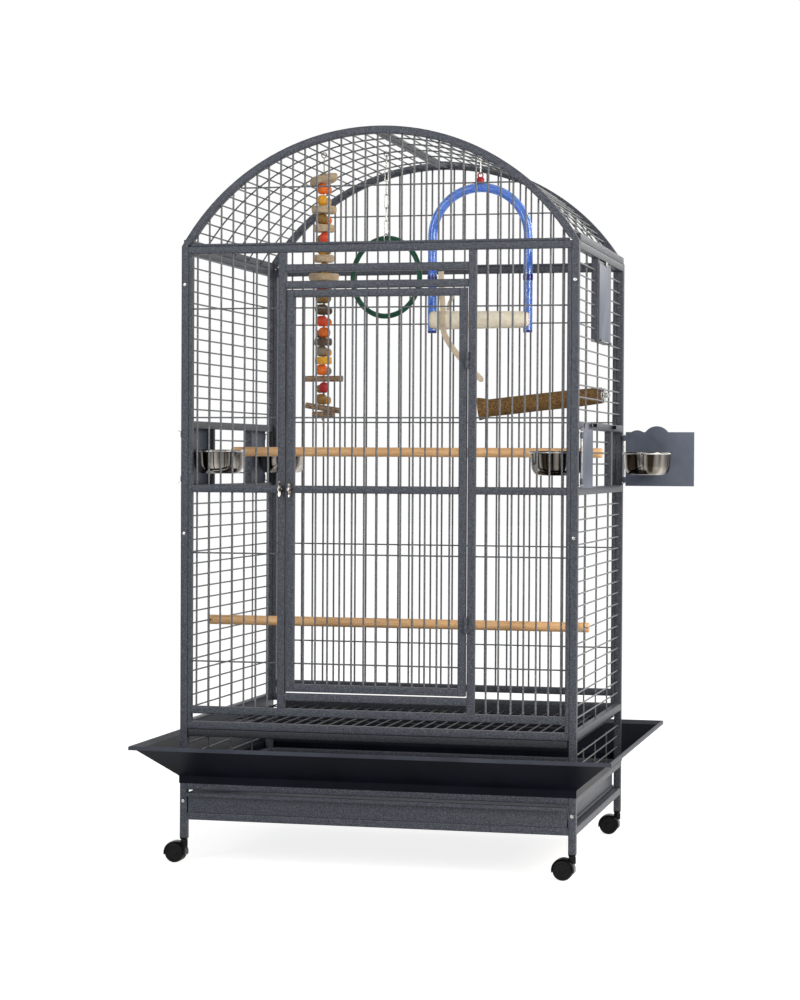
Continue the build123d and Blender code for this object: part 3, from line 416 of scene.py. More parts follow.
def addLathe(mesh, profile, base, axis=(0, 0, 1), sides=32):
    along = Vector(axis).normalized()
    side = along.orthogonal().normalized()
    other = along.cross(side)
    rings = []
    for radius, height in profile:
        ring = circlePoints(Vector(base) + along * height, radius, sides if radius > 1e-6 else 1, side, other)
        rings.append([mesh.verts.new(p) for p in ring])
    faces = []
    for low, high in zip(rings, rings[1:]):
        for k in range(sides):
            j = (k + 1) % sides
            ring = [low[k % len(low)], low[j % len(low)], high[j % len(high)], high[k % len(high)]]
            ring = list(dict.fromkeys(ring))
            if len(ring) > 2:
                faces.append(mesh.faces.new(ring))
    return faces


def arcPoints(centre, radius, start, end, steps):
    turns = [start + (end - start) * i / steps for i in range(steps + 1)]
    return [(centre[0] + radius * math.cos(a), centre[1] + radius * math.sin(a)) for a in turns]


def roundedRect(wide, high, corner, steps=3):
    points = []
    for i, (sx, sy) in enumerate(((1, 1), (-1, 1), (-1, -1), (1, -1))):
        middle = (sx * (wide / 2 - corner), sy * (high / 2 - corner))
        points += arcPoints(middle, corner, i * math.pi / 2, (i + 1) * math.pi / 2, steps)
    return points


def addSquareTube(mesh, low, high, corner):
    size = high - low
    long = max(range(3), key=lambda i: size[i])
    u, v = [(1, 2), (2, 0), (0, 1)][long]
    ways = Matrix.Identity(3)
    middle, reach = (low + high) / 2, ways[long] * (size[long] / 2)
    ring = [middle + ways[u] * a + ways[v] * b for a, b in roundedRect(size[u], size[v], corner)]
    addLoft(mesh, [[spot - reach for spot in ring], [spot + reach for spot in ring]])


def addRod(mesh, points, sides=12):
    low, high = boxOf(points)
    long = max(range(3), key=lambda i: (high - low)[i])
    row = sorted(points, key=lambda p: p[long])
    half = len(row) // 2
    first = sum(row[:half], Vector()) / half
    second = sum(row[half:], Vector()) / half
    addTube(mesh, (first, second), (row[0] - first).length / math.sqrt(2), sides)


def addPart(mesh, part):
    made = {}
    for face in part:
        for spot in face:
            if spot not in made:
                made[spot] = mesh.verts.new(spot)
        mesh.faces.new([made[spot] for spot in face])


def roundEdges(mesh, width, turn=40):
    mesh.normal_update()
    bmesh.ops.dissolve_limit(mesh, angle_limit=math.radians(1), verts=mesh.verts, edges=mesh.edges)
    sharp = [e for e in mesh.edges if len(e.link_faces) == 2 and e.calc_face_angle(0) > math.radians(turn)]
    bmesh.ops.bevel(mesh, geom=sharp, offset=width, segments=2, profile=0.5, affect="EDGES",
                    clamp_overlap=True)


def makePiece(name, mesh, finish, like, replaced=(), smooth=40):
    bmesh.ops.recalc_face_normals(mesh, faces=mesh.faces)
    data = bpy.data.meshes.new(name)
    mesh.to_mesh(data)
    mesh.free()
    for word in finish if isinstance(finish, tuple) else (finish,):
        data.materials.append(finishes[word])
    data.shade_smooth()
    data.set_sharp_from_angle(angle=math.radians(smooth))
    piece = putObject(name, data)
    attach(piece, body_of(nodes[like])[0])
    if replaced:
        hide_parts(*replaced)
    return piece


def pieceWord(name):
    first, *rest = name.split("_")
    return first + "".join(w.capitalize() for w in rest)


def makeFor(name, word, mesh, finish, smooth=40):  # a piece in place of one node
    makePiece(pieceWord(name) + word, mesh, finish, name, (name,), smooth)


# frames of square tube, with bars and wires as round rods
barCorners, tubeCorners = 8, 16  # corners of a drawn bar and of a drawn square tube
frameSet = {
    "tubeCorner": 0.0022,
    "rodSides": 12,
    "thinnest": 0.0062,  # anything slimmer is a round rod
    "edge": 0.0006,
    "frames": ("corner_posts", "front_frame", "back_frame", "left_side_frame", "right_side_frame", "base_frame",
               "door_frame"),
    "rods": ("front_bars", "back_bars", "door_bars", "dome_end_bars", "left_side_wires", "right_side_wires"),
}


def dressNode(name, finish, s):
    mesh = bmesh.new()
    solids = list(solidsOf(name))
    for part, points, low, high in solids:
        if len(points) not in (barCorners, tubeCorners):
            addPart(mesh, part)
    roundEdges(mesh, s["edge"])
    for part, points, low, high in solids:
        slim = sorted(high - low)[1]
        if len(points) == barCorners and slim < s["thinnest"]:
            addRod(mesh, points, s["rodSides"])
        elif len(points) in (barCorners, tubeCorners):
            addSquareTube(mesh, low, high, min(s["tubeCorner"], slim / 4))
    makeFor(name, "Dressed", mesh, finish)


for name in frameSet["frames"]:
    dressNode(name, "frame", frameSet)
for name in frameSet["rods"]:
    dressNode(name, "bar", frameSet)
dressNode("grate", "grate", frameSet)
print("frames and bars")

# dome: bent square tubes over round rods and bent wires
domeSet = {"tube": 0.019, "corner": 0.0022, "arcSteps": 28, "archSteps": 28, "wire": 0.002}


def domeCircle():
    low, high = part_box("dome_frame")
    half, rise = (high.x - low.x) / 2, high.z - low.z
    outer = (half ** 2 + rise ** 2) / (2 * rise)
    return outer, high.z - outer, low.z


def addArch(mesh, y, side, s):
    outer, middleZ, baseZ = domeCircle()
    lean = math.acos((baseZ - middleZ) / outer)
    outline = [(outer - s["tube"] / 2 + a, y + b) for a, b in roundedRect(s["tube"], s["tube"], s["corner"])]
    rings = []
    for i in range(s["archSteps"] + 1):
        angle = side * lean * i / s["archSteps"]
        out, up = math.sin(angle), math.cos(angle)
        rings.append([Vector((out * r, v, max(middleZ + up * r, baseZ))) for r, v in outline])
    addLoft(mesh, rings)


def makeDome(s):
    mesh = bmesh.new()
    for part, points, low, high in solidsOf("dome_frame"):
        if len(points) > tubeCorners:
            addArch(mesh, (low.y + high.y) / 2, 1 if low.x + high.x > 0 else -1, s)
        else:
            addSquareTube(mesh, low, high, min(s["corner"], sorted(high - low)[0] / 4))
    makeFor("dome_frame", "Dressed", mesh, "frame")
    outer, middleZ = domeCircle()[:2]
    bend = outer - s["tube"] / 2 - 2 * s["wire"]
    for name in ("dome_left_wires", "dome_right_wires"):
        mesh = bmesh.new()
        for part, points, low, high in solidsOf(name):
            if len(points) == barCorners:
                addRod(mesh, points)
                continue
            start, end = math.acos(low.x / bend), math.acos(high.x / bend)
            arc = arcPoints((0, middleZ), bend, start, end, s["arcSteps"])
            addTube(mesh, [(x, (low.y + high.y) / 2, z) for x, z in arc], s["wire"])
        makeFor(name, "Dressed", mesh, "bar")


makeDome(domeSet)
print("dome")

# seed guards of folded sheet, mitred at the corners
guardSet = {
    "sheet": 0.0015,
    "flange": 0.015,
    "drop": 0.0045,  # how far the flange laps on to the rail
    "lip": 0.010,
    "hem": 0.003,    # radius of the fold at the lip
    "hemSteps": 8,
    "bend": 0.006, "bendSteps": 5, "mitreGap": 0.001,
    "sides": {"front": (0, -1, 0), "back": (0, 1, 0), "left": (-1, 0, 0), "right": (1, 0, 0)},
}


def guardProfile(reach, low, rim, s):
    rise = rim - low - s["flange"] - s["drop"]
    slope = math.atan2(rise, reach)
    bent = math.pi / 2 - slope
    pull = s["bend"] * math.tan(bent / 2)
    foot = (s["bend"], low + s["flange"] + s["drop"] - pull)
    outer = [(0.0, low)] + arcPoints(foot, s["bend"], math.pi, math.pi - bent, s["bendSteps"])
    tip = (reach - s["hem"], rim - s["hem"])
    outer += arcPoints(tip, s["hem"], math.pi - bent, 0, s["hemSteps"])
    outer.append((reach, rim - s["lip"]))
    return outer


def thicken(line, wall):
    inner = []
    for i, (u, z) in enumerate(line):
        ahead = line[min(i + 1, len(line) - 1)]
        behind = line[max(i - 1, 0)]
        du, dz = ahead[0] - behind[0], ahead[1] - behind[1]
        size = math.hypot(du, dz)
        inner.append((u + dz / size * wall, z - du / size * wall))
    return line + inner[::-1]


def makeGuard(name, out, s):
    low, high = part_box(name)
    out = Vector(out)
    along = Vector((0, 0, 1)).cross(out)
    span = abs((high - low).dot(along)) / 2
    faceAt, edgeAt = sorted(abs(p.dot(out)) for p in (low, high))
    reach = edgeAt - faceAt
    half = span - reach + s["sheet"]
    section = thicken(guardProfile(reach, low.z - s["drop"], high.z, s), s["sheet"])
    rings = []
    for end in (-1, 1):
        rings.append([out * (faceAt + u) + along * end * (half - s["mitreGap"] + u) + Vector((0, 0, z))
                      for u, z in section])
    mesh = bmesh.new()
    addLoft(mesh, rings)
    makeFor(name, "Sheet", mesh, "guard", 50)


for word, out in guardSet["sides"].items():
    makeGuard("guard_" + word, out, guardSet)
print("guards")

# a strip behind the grate, and wires that carry the side panels on down to the base rails
stripSet = {"sheet": 0.0017, "low": 0.313, "high": 0.350, "back": 0.3619, "reach": 0.470}


def makeBackStrip(s):
    mesh = bmesh.new()
    low = Vector((-s["reach"], s["back"] - s["sheet"], s["low"]))
    high = Vector((s["reach"], s["back"], s["high"]))
    addSquareTube(mesh, low, high, s["sheet"] / 4)
    # painted shade: the strip takes the darker grate paint instead of the frame paint, so the slot above the
    # grate stays dark
    makePiece("backGrateStrip", mesh, "grate", "base_frame")


makeBackStrip(stripSet)

skirtSet = {
    "levels": (0.299, 0.270, 0.241), "braces": (-0.190, 0.0, 0.190),
    "side": 0.4985, "end": 0.363, "foot": 0.204, "wire": 0.002,
}


def makeSideSkirts(s):
    mesh = bmesh.new()
    top = s["levels"][0] + s["wire"]
    for side in (-s["side"], s["side"]):
        behind = side - math.copysign(2 * s["wire"], side)
        lines = [((side, -s["end"], z), (side, s["end"], z)) for z in s["levels"]]
        lines += [((behind, y, s["foot"]), (behind, y, top)) for y in s["braces"]]
        for line in lines:
            addTube(mesh, line, s["wire"], frameSet["rodSides"])
    makePiece("sideSkirtWires", mesh, "bar", "base_frame")


makeSideSkirts(skirtSet)
print("grate strip and side skirts")

# sheet and bar pieces that keep their drawn form, with their edges eased
easedSet = {
    "door_hinge_leaves": ("frame", 0.0004),
    "side_door_pins": ("zinc", 0.0003),
    "nest_door": ("plate", 0.0004),
    "nest_button": ("zinc", 0.0004),
    "tray": ("frame", 0.0005),
    "leg_plugs": ("hood", 0.0008),
    "post_bolts": ("zinc", 0.0008),
    "branch_fixing": ("zinc", 0.0004),
}


def easeNode(name, finish, width):
    mesh = bmesh.new()
    for part in looseParts(name):
        addPart(mesh, part)
    roundEdges(mesh, width, 50)
    makeFor(name, "Eased", mesh, finish, 50)


for name, (finish, width) in easedSet.items():
    easeNode(name, finish, width)
print("eased pieces")

# feeder doors, cups and hooks
feederSet = {
    "words": ("right_rear", "right_front", "left_rear", "left_front"),
    "edge": 0.0005, "ringWire": 0.0028, "roundSteps": 64,
    "ringHigh": 0.02, "ringWide": 0.1,      # the drawn ring is lower and wider than these
    "cupFoot": 0.044,                       # radius of the foot
    "cupTurn": 0.028, "turnSteps": 9,       # height of the curve above it
    "cupDish": 0.0012,                      # how far the foot is pushed in
    "cupDraft": 0.002, "cupWall": 0.0012,   # how much the side widens upwards, and its sheet
    "lipReach": 0.0035, "lipHigh": 0.003, "rim": 0.0016,
}


def makeFeeder(word, s):
    name = "feeder_door_" + word
    mesh = bmesh.new()
    ring = None
    for part, points, low, high in solidsOf(name):
        if high.z - low.z < s["ringHigh"] and min(high.x - low.x, high.y - low.y) > s["ringWide"]:
            ring = (low, high)
        else:
            addPart(mesh, part)
    roundEdges(mesh, s["edge"], 50)
    low, high = ring
    centre = (low + high) / 2
    radius = (high.x - low.x) / 2 - s["ringWire"]
    makeFor(name, "Dressed", mesh, "plate", 50)
    mesh = bmesh.new()
    addTube(mesh, circlePoints(centre, radius, s["roundSteps"], other=(0, 1, 0)), s["ringWire"], 12, True)
    makePiece(pieceWord(name) + "Ring", mesh, "zinc", name, (), 50)
    makeCup(word, s)
    easeNode("feeder_hook_" + word, "hood", s["edge"])


def makeCup(word, s):
    name = "feeder_cup_" + word
    low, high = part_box(name)
    lip = (high.x - low.x) / 2
    side = lip - s["lipReach"]
    deep = high.z - low.z
    wall, foot, dish = s["cupWall"], s["cupFoot"], s["cupDish"]
    curve = side - s["cupDraft"] - foot
    outer = [(0, dish), (foot * 0.9, dish), (foot * 0.95, 0)]
    for i in range(s["turnSteps"] + 1):
        angle = math.pi / 2 * i / s["turnSteps"]
        outer.append((foot + curve * math.sin(angle), s["cupTurn"] * (1 - math.cos(angle))))
    outer.append((side, deep - s["lipHigh"]))
    rim = arcPoints((lip - s["rim"], deep - s["rim"]), s["rim"], -math.pi / 2, math.pi, 10)
    inner = [(r - wall, h + wall) for r, h in reversed(outer[3:-1])] + [(0, dish + wall)]
    mesh = bmesh.new()
    base = boxCentre(name)
    addLathe(mesh, outer + rim + inner, (base.x, base.y, low.z), sides=s["roundSteps"])
    makeFor(name, "Spun", mesh, "cup", 60)


for word in feederSet["words"]:
    makeFeeder(word, feederSet)
print("feeders")

# wing latches: a turned hub with two flat wings
latchSet = {
    "hub": 0.0078,
    "hubLine": ((0, 0), (1, 0), (1, 0.55), (0.8, 0.8), (0.6, 0.93), (0, 0.96)),  # shares of radius and length
    "base": 0.0048,
    "widest": 0.0075,
    "swell": (0.25, 0.72),  # where the wing's outline starts on a half wave, and how far it runs
    "tip": (0.9, 0.7),      # share of the length that the tip starts at, and its width
    "thick": 0.0034,
    "corner": 0.45,         # share of the thickness
    "flare": 0.003, "wingFrom": 0.003, "wingSteps": 8,
}


def makeLatch(name, s):
    low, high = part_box(name)
    centre = (low + high) / 2
    reach = (high.z - low.z) / 2
    long = high.y - low.y
    mesh = bmesh.new()
    hub = [(s["hub"] * r, long * h) for r, h in s["hubLine"]]
    addLathe(mesh, hub, (centre.x, high.y, centre.z), (0, -1, 0), 24)
    for side in (-1, 1):
        rings = []
        for i in range(s["wingSteps"] + 1):
            share = i / s["wingSteps"]
            swell = math.sin(math.pi * (s["swell"][0] + s["swell"][1] * share))
            wide = s["base"] + (s["widest"] - s["base"]) * swell
            wide *= 1 if share < s["tip"][0] else s["tip"][1]
            spot = Vector((centre.x, low.y + s["thick"] / 2 + s["flare"] * (1 - share), 0))
            spot.z = centre.z + side * (s["wingFrom"] + (reach - s["wingFrom"]) * share)
            outline = roundedRect(wide, s["thick"], s["thick"] * s["corner"])
            rings.append([spot + Vector((a, b, 0)) for a, b in outline[::side]])
        addLoft(mesh, rings)
    makeFor(name, "Cast", mesh, "latch", 50)


for name in ("jamb_wing_latch", "stile_wing_latch"):
    makeLatch(name, latchSet)
print("latches")

# casters: a hooded fork over twin wheels
casterSet = {
    "trail": 0.022, "hoodRadius": 0.029, "hoodWall": 0.0025, "hoodHalf": 0.0205, "hoodTaper": 0.001,
    "crown": 0.003, "from": math.radians(-12), "to": math.radians(192), "steps": 36, "web": 0.002,
    "socket": 0.009, "socketFrom": 0.55,  # the second is a share of the hood's radius
    "gap": 0.0005, "axle": 0.003, "axleHalf": 0.004, "wheelWide": 0.016,
    "wheelLine": ((0, 0), (0.8, 0), (0.95, 0.07), (1, 0.24), (1, 0.76), (0.95, 0.93), (0.83, 1), (0.75, 1),
                  (0.7, 0.86), (0.34, 0.86), (0.3, 0.96), (0.18, 1), (0, 1)),  # shares of radius and width
}


def makeCaster(word, s):
    hood, wheels = "caster_hood_" + word, "caster_wheels_" + word
    axle = boxCentre(wheels)
    low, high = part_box(wheels)
    radius = (high.z - low.z) / 2
    axle.z = low.z + radius
    mesh = bmesh.new()
    shares = [-1 + i / 6 for i in range(13)]
    inside = s["hoodRadius"] - s["hoodWall"]
    section = [(w * s["hoodHalf"], s["hoodRadius"] - s["crown"] * w ** 6) for w in shares]
    narrow = s["hoodHalf"] - s["hoodTaper"]
    section += [(w * narrow, inside - s["crown"] * w ** 6 * 0.2) for w in reversed(shares)]
    arc = arcPoints((0, 0), 1, s["from"], s["to"], s["steps"])
    addLoft(mesh, [[axle + Vector((x * r, y, z * r)) for y, r in section] for x, z in arc])
    web = arcPoints((axle.x, axle.z), inside, s["from"], s["to"], s["steps"])
    addLoft(mesh, [[Vector((x, axle.y + y, z)) for x, z in web] for y in (-s["web"], s["web"])])
    socketLow = axle.z + s["hoodRadius"] * s["socketFrom"]
    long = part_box(hood)[1].z - socketLow
    collar = [(0, 0), (s["socket"], 0), (s["socket"], long * 0.9), (s["socket"] * 0.92, long), (0, long)]
    addLathe(mesh, collar, (axle.x + s["trail"], axle.y, socketLow), sides=28)
    makeFor(hood, "Moulded", mesh, "hood", 45)
    mesh = bmesh.new()
    wheel = [(radius * r, s["wheelWide"] * w) for r, w in s["wheelLine"]]
    for side in (-1, 1):
        base = axle + Vector((0, side * (s["web"] + s["gap"]), 0))
        addLathe(mesh, wheel, base, (0, side, 0), 40)
    half = Vector((0, s["axleHalf"], 0))
    addTube(mesh, (axle - half, axle + half), s["axle"], 16)
    makeFor(wheels, "Turned", mesh, "tyre", 35)


for word in ("front_left", "front_right", "rear_left", "rear_right"):
    makeCaster(word, casterSet)
print("casters")

# dowel perches, slotted at their ends to sit on the side wires
dowelSet = {"slotHalf": 0.0022, "slotDeep": 0.0105, "slotSteps": 14, "sides": 32, "ease": 0.0015, "shrink": 0.9}


def makeDowels(s):
    mesh = bmesh.new()
    for part, points, low, high in solidsOf("perch_dowels"):
        radius = (high.z - low.z) / 2
        middle = (low + high) / 2
        reach = high.x - middle.x
        body = reach - s["slotDeep"]
        base = Vector((middle.x - body, middle.y, middle.z))
        addLathe(mesh, [(0, 0), (radius, 0), (radius, 2 * body), (0, 2 * body)], base, (1, 0, 0), s["sides"])
        start = math.asin(s["slotHalf"] / radius)
        for end in (-1, 1):
            for upper in (-1, 1):
                rings = []
                for x, shrink in ((body, 1), (reach - s["ease"], 1), (reach, s["shrink"])):
                    rim = arcPoints((0, 0), radius * shrink, start, math.pi - start, s["slotSteps"])
                    rings.append([middle + Vector((end * x, u, upper * v)) for u, v in rim])
                addLoft(mesh, rings)
    makeFor("perch_dowels", "Turned", mesh, "dowel", 45)


makeDowels(dowelSet)


# a knotty stick along a path, with bark round it and a cut face at each end
def addStick(mesh, path, radii, sides, knot, seed, grain=45):
    faces = addTube(mesh, path, radii, sides)
    shift = Vector((seed * 3.1, seed * 1.7, seed * 0.9))
    verts = {v for f in faces for v in f.verts}
    for v in verts:
        v.normal_update()
    moves = {v: v.normal * noise.noise((v.co + shift) * grain) * knot for v in verts}
    for v, move in moves.items():
        v.co += Vector((0, move.y, move.z))
    for f in faces[-2:]:
        f.material_index = 1


branchSet = {
    "y": 0.080,
    "drop": 0.036,
    "sway": 0.003,
    "thick": (0.021, 0.0235, 0.023, 0.0235, 0.023),  # from the root to the free end
    "stump": 0.0075,    # how far the free end flares
    "stumpFrom": 0.92,  # share of the length
    "steps": 60, "sides": 28, "knot": 0.0024, "seed": 2,
}


def makeBranch(s):
    low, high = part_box("branch_perch")
    root = Vector((high.x, s["y"], high.z - s["thick"][0]))
    path = []
    radii = []
    for i in range(s["steps"] + 1):
        share = i / s["steps"]
        sway = s["sway"] * math.sin(share * 3 * math.pi)
        path.append(root + Vector((-(high.x - low.x) * share, sway, -s["drop"] * share)))
        place = share * (len(s["thick"]) - 1)
        at = min(int(place), len(s["thick"]) - 2)
        flare = s["stump"] * max(0, (share - s["stumpFrom"]) / (1 - s["stumpFrom"])) ** 0.6
        radii.append(s["thick"][at] + (s["thick"][at + 1] - s["thick"][at]) * (place - at) + flare)
    mesh = bmesh.new()
    addStick(mesh, path, radii, s["sides"], s["knot"], s["seed"])
    makeFor("branch_perch", "Bark", mesh, ("bark", "cut"), 60)


makeBranch(branchSet)
print("perches")

# bead toy: wood slices, turned beads and sticks on one cord, from the top down
beadSet = {
    "colours": ("slice orange yellow slice olive slice scarlet yellow slice honey slice crimson olive umber "
                "scarlet orange umber ash yellow orange stick crimson olive stick stick").split(),
    "beside": {1: "orange", 2: "slice", 4: "orange", 6: "olive", 7: "ash", 9: "umber", 11: "ash", 12: "umber",
               13: "umber", 14: "orange", 15: "umber", 17: "honey", 19: "ash", 21: "olive", 22: "honey"},
    "tilt": {0: 13, 23: -9},  # degrees
    "mainShift": (-0.0036, -0.004, 0),   # where two beads share a level
    "sideShift": (0.009, 0.004, -0.003),
    "mainSize": 0.94, "sideSize": 0.72, "hole": 0.0022,
    "cutOff": 0.06,  # share of the half turn that is left off at each hole
    "plump": 0.7,    # 1 is round, less is fuller
    "beadSteps": 14,
    "sliceHigh": 0.02,   # anything lower is a slice
    "sliceLine": ((-0.5, 0.93), (-0.36, 0.99), (0, 1.0), (0.36, 0.99), (0.5, 0.93)),  # height and shrink
    "sliceSides": 36,
    "lobes": 1.6,        # how fast its outline wanders
    "uneven": 0.1,
    "stickThick": 0.02,  # anything thinner is a stick
    "stickSteps": 7, "stickKnot": 0.0012,
}


def addBead(mesh, low, high, shift, size, s):
    centre = (low + high) / 2 + Vector(shift)
    tall = (high.z - low.z) * size
    radius = max(high.x - low.x, high.y - low.y) / 2 * size
    profile = []
    for i in range(s["beadSteps"] + 1):
        angle = math.pi * (s["cutOff"] + (1 - 2 * s["cutOff"]) * i / s["beadSteps"])
        out = radius * math.sin(angle) ** s["plump"]
        profile.append((max(s["hole"], out), tall / 2 * (1 - math.cos(angle))))
    base = (centre.x, centre.y, centre.z - tall / 2)
    addLathe(mesh, [(0, profile[0][1])] + profile + [(0, profile[-1][1])], base, sides=28)


def addSlice(mesh, low, high, seed, lean, s):
    centre = (low + high) / 2
    radius = max(high.x - low.x, high.y - low.y) / 2
    rings = []
    for height, shrink in s["sliceLine"]:
        ring = []
        for flat in circlePoints(Vector(), 1, s["sliceSides"], other=(0, 1, 0)):
            wobble = noise.noise(flat * s["lobes"] + Vector((0, 0, seed * 2.3 + height)))
            reach = radius * shrink * (1 - s["uneven"] + s["uneven"] * wobble)
            rise = (high.z - low.z) * height + lean * reach * flat.x
            ring.append(centre + flat * reach + Vector((0, 0, rise)))
        rings.append(ring)
    addLoft(mesh, rings)


def makeBeads(s):
    groups = {}

    def meshOf(colour):
        if colour not in groups:
            groups[colour] = bmesh.new()
        return groups[colour]

    for i, ((low, high), colour) in enumerate(zip(boxesDown("bead_stack"), s["colours"])):
        mesh = meshOf(colour)
        lean = math.tan(math.radians(s["tilt"].get(i, 0)))
        if high.y - low.y < s["stickThick"]:
            half = Vector((1, 0, lean)) * (high.x - low.x) / 2
            steps = s["stickSteps"]
            path = [(low + high) / 2 + half * (k / steps) for k in range(-steps, steps + 1)]
            addStick(mesh, path, (high.z - low.z) / 2 * 0.95, 16, s["stickKnot"], i)
        elif high.z - low.z < s["sliceHigh"]:
            addSlice(mesh, low, high, i, lean, s)
        elif i in s["beside"]:
            away = Vector((1 if i % 3 else -1, 1, 1))
            addBead(mesh, low, high, away * Vector(s["mainShift"]), s["mainSize"], s)
            addBead(meshOf(s["beside"][i]), low, high, away * Vector(s["sideShift"]), s["sideSize"], s)
        else:
            addBead(mesh, low, high, (0, 0, 0), 1, s)
    made = []
    for colour, mesh in groups.items():
        finish = ("stick", "cut") if colour == "stick" else colour
        made.append(makePiece("toyBeads" + colour.capitalize(), mesh, finish, "bead_stack", ("bead_stack",), 50))
    return made


cordSet = {
    "diameter": 0.003,
    "topDrop": 0.0165,  # from the top of the eye to the cord
    "shares": (0, 0.05, 0.2, 0.4, 0.6, 0.8, 0.95, 1),
    "knot": 0.0045,
    "knotRise": 0.020,
    "knotLine": ((0, -0.004), (0.7, -0.0035), (1, -0.001), (0.75, 0.0003), (1, 0.0015), (0.7, 0.0036),
                 (0, 0.004)),  # share of the radius, and height
    "eye": 0.0065, "eyeDrop": 0.008, "eyeWire": 0.0015, "eyeSteps": 32,
}


def makeCord(beads, s):
    low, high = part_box("bead_cord")
    middle = (low + high) / 2
    top = Vector((middle.x, middle.y, high.z - s["topDrop"]))
    foot = Vector((middle.x, middle.y, low.z))
    data = bpy.data.curves.new("toyCordHung", "CURVE")
    data.dimensions = "3D"
    spline = data.splines.new("NURBS")
    spline.points.add(len(s["shares"]) - 1)
    for point, share in zip(spline.points, s["shares"]):
        point.co = (*(top + (foot - top) * share), 1)
    spline.order_u = 3
    spline.use_endpoint_u = True
    data.bevel_depth = s["diameter"] / 2
    data.bevel_resolution = 4
    data.use_fill_caps = True
    data.materials.append(finishes["cord"])
    cord = putObject("toyCordHung", data)
    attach(cord, "bead_toy")
    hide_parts("bead_cord")
    mesh = bmesh.new()
    knot = [(s["knot"] * r, h) for r, h in s["knotLine"]]
    addLathe(mesh, knot, (middle.x, middle.y, low.z + s["knotRise"]), sides=20)
    eye = Vector((middle.x, middle.y, high.z - s["eyeDrop"]))
    addEye(mesh, eye, s["eye"], s["eyeWire"], steps=s["eyeSteps"])
    ends = makePiece("toyCordEyeAndKnot", mesh, "cord", "bead_cord", (), 60)


makeCord(makeBeads(beadSet), cordSet)
print("bead toy")

# ring swing: chain links down to a hoop
hoopSet = {"turn": math.radians(-17), "thick": 0.007, "steps": 96, "sides": 20, "wire": 0.0012, "eyeWire": 0.0015}


def addLink(mesh, low, high, wire):
    centre = (low + high) / 2
    size = high - low
    wide = max(size.x, size.y) / 2 - wire
    tall = size.z / 2 - wire - wide
    flat = Vector((1, 0, 0) if size.x > size.y else (0, 1, 0))
    path = arcPoints((0, tall), wide, 0, math.pi, 8) + arcPoints((0, -tall), wide, math.pi, fullTurn, 8)
    addTube(mesh, [centre + flat * a + Vector((0, 0, z)) for a, z in path], wire, 10, True)


def makeHoop(s):
    mesh = bmesh.new()
    parts = boxesDown("hoop_chain")
    for i, (low, high) in enumerate(parts):
        if i in (0, len(parts) - 1):
            turn = 0 if i == 0 else math.pi / 2 + s["turn"]
            addEye(mesh, (low + high) / 2, (high.z - low.z) / 2 - s["eyeWire"], s["eyeWire"], turn)
        else:
            addLink(mesh, low, high, s["wire"])
    makeFor("hoop_chain", "Links", mesh, "zinc", 60)
    low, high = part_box("hoop")
    radius = (high.z - low.z) / 2 - s["thick"]
    flat = (math.cos(s["turn"]), math.sin(s["turn"]), 0)
    mesh = bmesh.new()
    addTube(mesh, circlePoints((low + high) / 2, radius, s["steps"], flat), s["thick"], s["sides"], True)
    makeFor("hoop", "Ring", mesh, "green", 60)


makeHoop(hoopSet)
print("hoop")

# arch swing: a bent clear tube, its couplings and connector, and a cast perch
swingSet = {
    "tube": 0.012, "bore": 0.0088, "end": 0.006, "steps": 40, "sides": 28,
    "coupling": 0.0132, "couplingLong": 0.016, "couplingDrop": 0.115, "ease": 0.002,
    "eye": 0.0065, "eyeWire": 0.0015, "linkWire": 0.0012,
    "lugLine": ((0, 0), (0.0105, 0), (0.011, 0.002), (0.0095, 0.006), (0.0105, 0.0105), (0.007, 0.0145),
                (0, 0.016)),
    "lugEyeDrop": 0.008, "lugEyeWire": 0.0018,
}


def makeSwing(s):
    low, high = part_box("swing_bow")
    centre = (low + high) / 2
    radius = (high.x - low.x) / 2 - s["tube"]
    springZ = high.z - radius - s["tube"]
    endZ = low.z + s["end"]
    left, right = centre.x - radius, centre.x + radius
    middleZ = (endZ + springZ) / 2
    line = [(right, endZ), (right, middleZ)]
    line += arcPoints((centre.x, springZ), radius, 0, math.pi, s["steps"])
    line += [(left, middleZ), (left, endZ)]
    path = [Vector((x, centre.y, z)) for x, z in line]
    mesh = bmesh.new()
    outside, inside = [tubeRings(path, radius, s["sides"]) for radius in (s["tube"], s["bore"])]
    addLoft(mesh, outside + inside[::-1], True)
    makeFor("swing_bow", "Tube", mesh, "blue", 60)
    mesh = bmesh.new()
    wide, long, ease = s["coupling"], s["couplingLong"], s["ease"]
    band = [(0, 0), (wide * 0.96, 0), (wide, ease), (wide, long - ease), (wide * 0.96, long), (0, long)]
    plug = [(0, 0), (s["tube"] * 0.9, 0), (s["tube"], ease), (s["tube"], s["end"]), (0, s["end"])]
    for x in (left, right):
        addLathe(mesh, band, (x, centre.y, springZ - s["couplingDrop"]), sides=s["sides"])
        addLathe(mesh, plug, (x, centre.y, low.z), sides=s["sides"])
    makePiece("swingBowCouplings", mesh, "deepBlue", "swing_bow", (), 40)
    mesh = bmesh.new()
    (eyeLow, eyeHigh), link, (lugLow, lugHigh) = boxesDown("swing_hanger")
    addEye(mesh, (eyeLow + eyeHigh) / 2, s["eye"], s["eyeWire"])
    addLink(mesh, *link, s["linkWire"])
    makeFor("swing_hanger", "Steel", mesh, "zinc", 60)
    mesh = bmesh.new()
    lug = (lugLow + lugHigh) / 2
    addLathe(mesh, s["lugLine"], (lug.x, lug.y, lugLow.z), sides=s["sides"])
    addEye(mesh, Vector((lug.x, lug.y, lugHigh.z - s["lugEyeDrop"])), s["eye"], s["lugEyeWire"])
    makePiece("swingConnector", mesh, "red", "swing_hanger", (), 50)


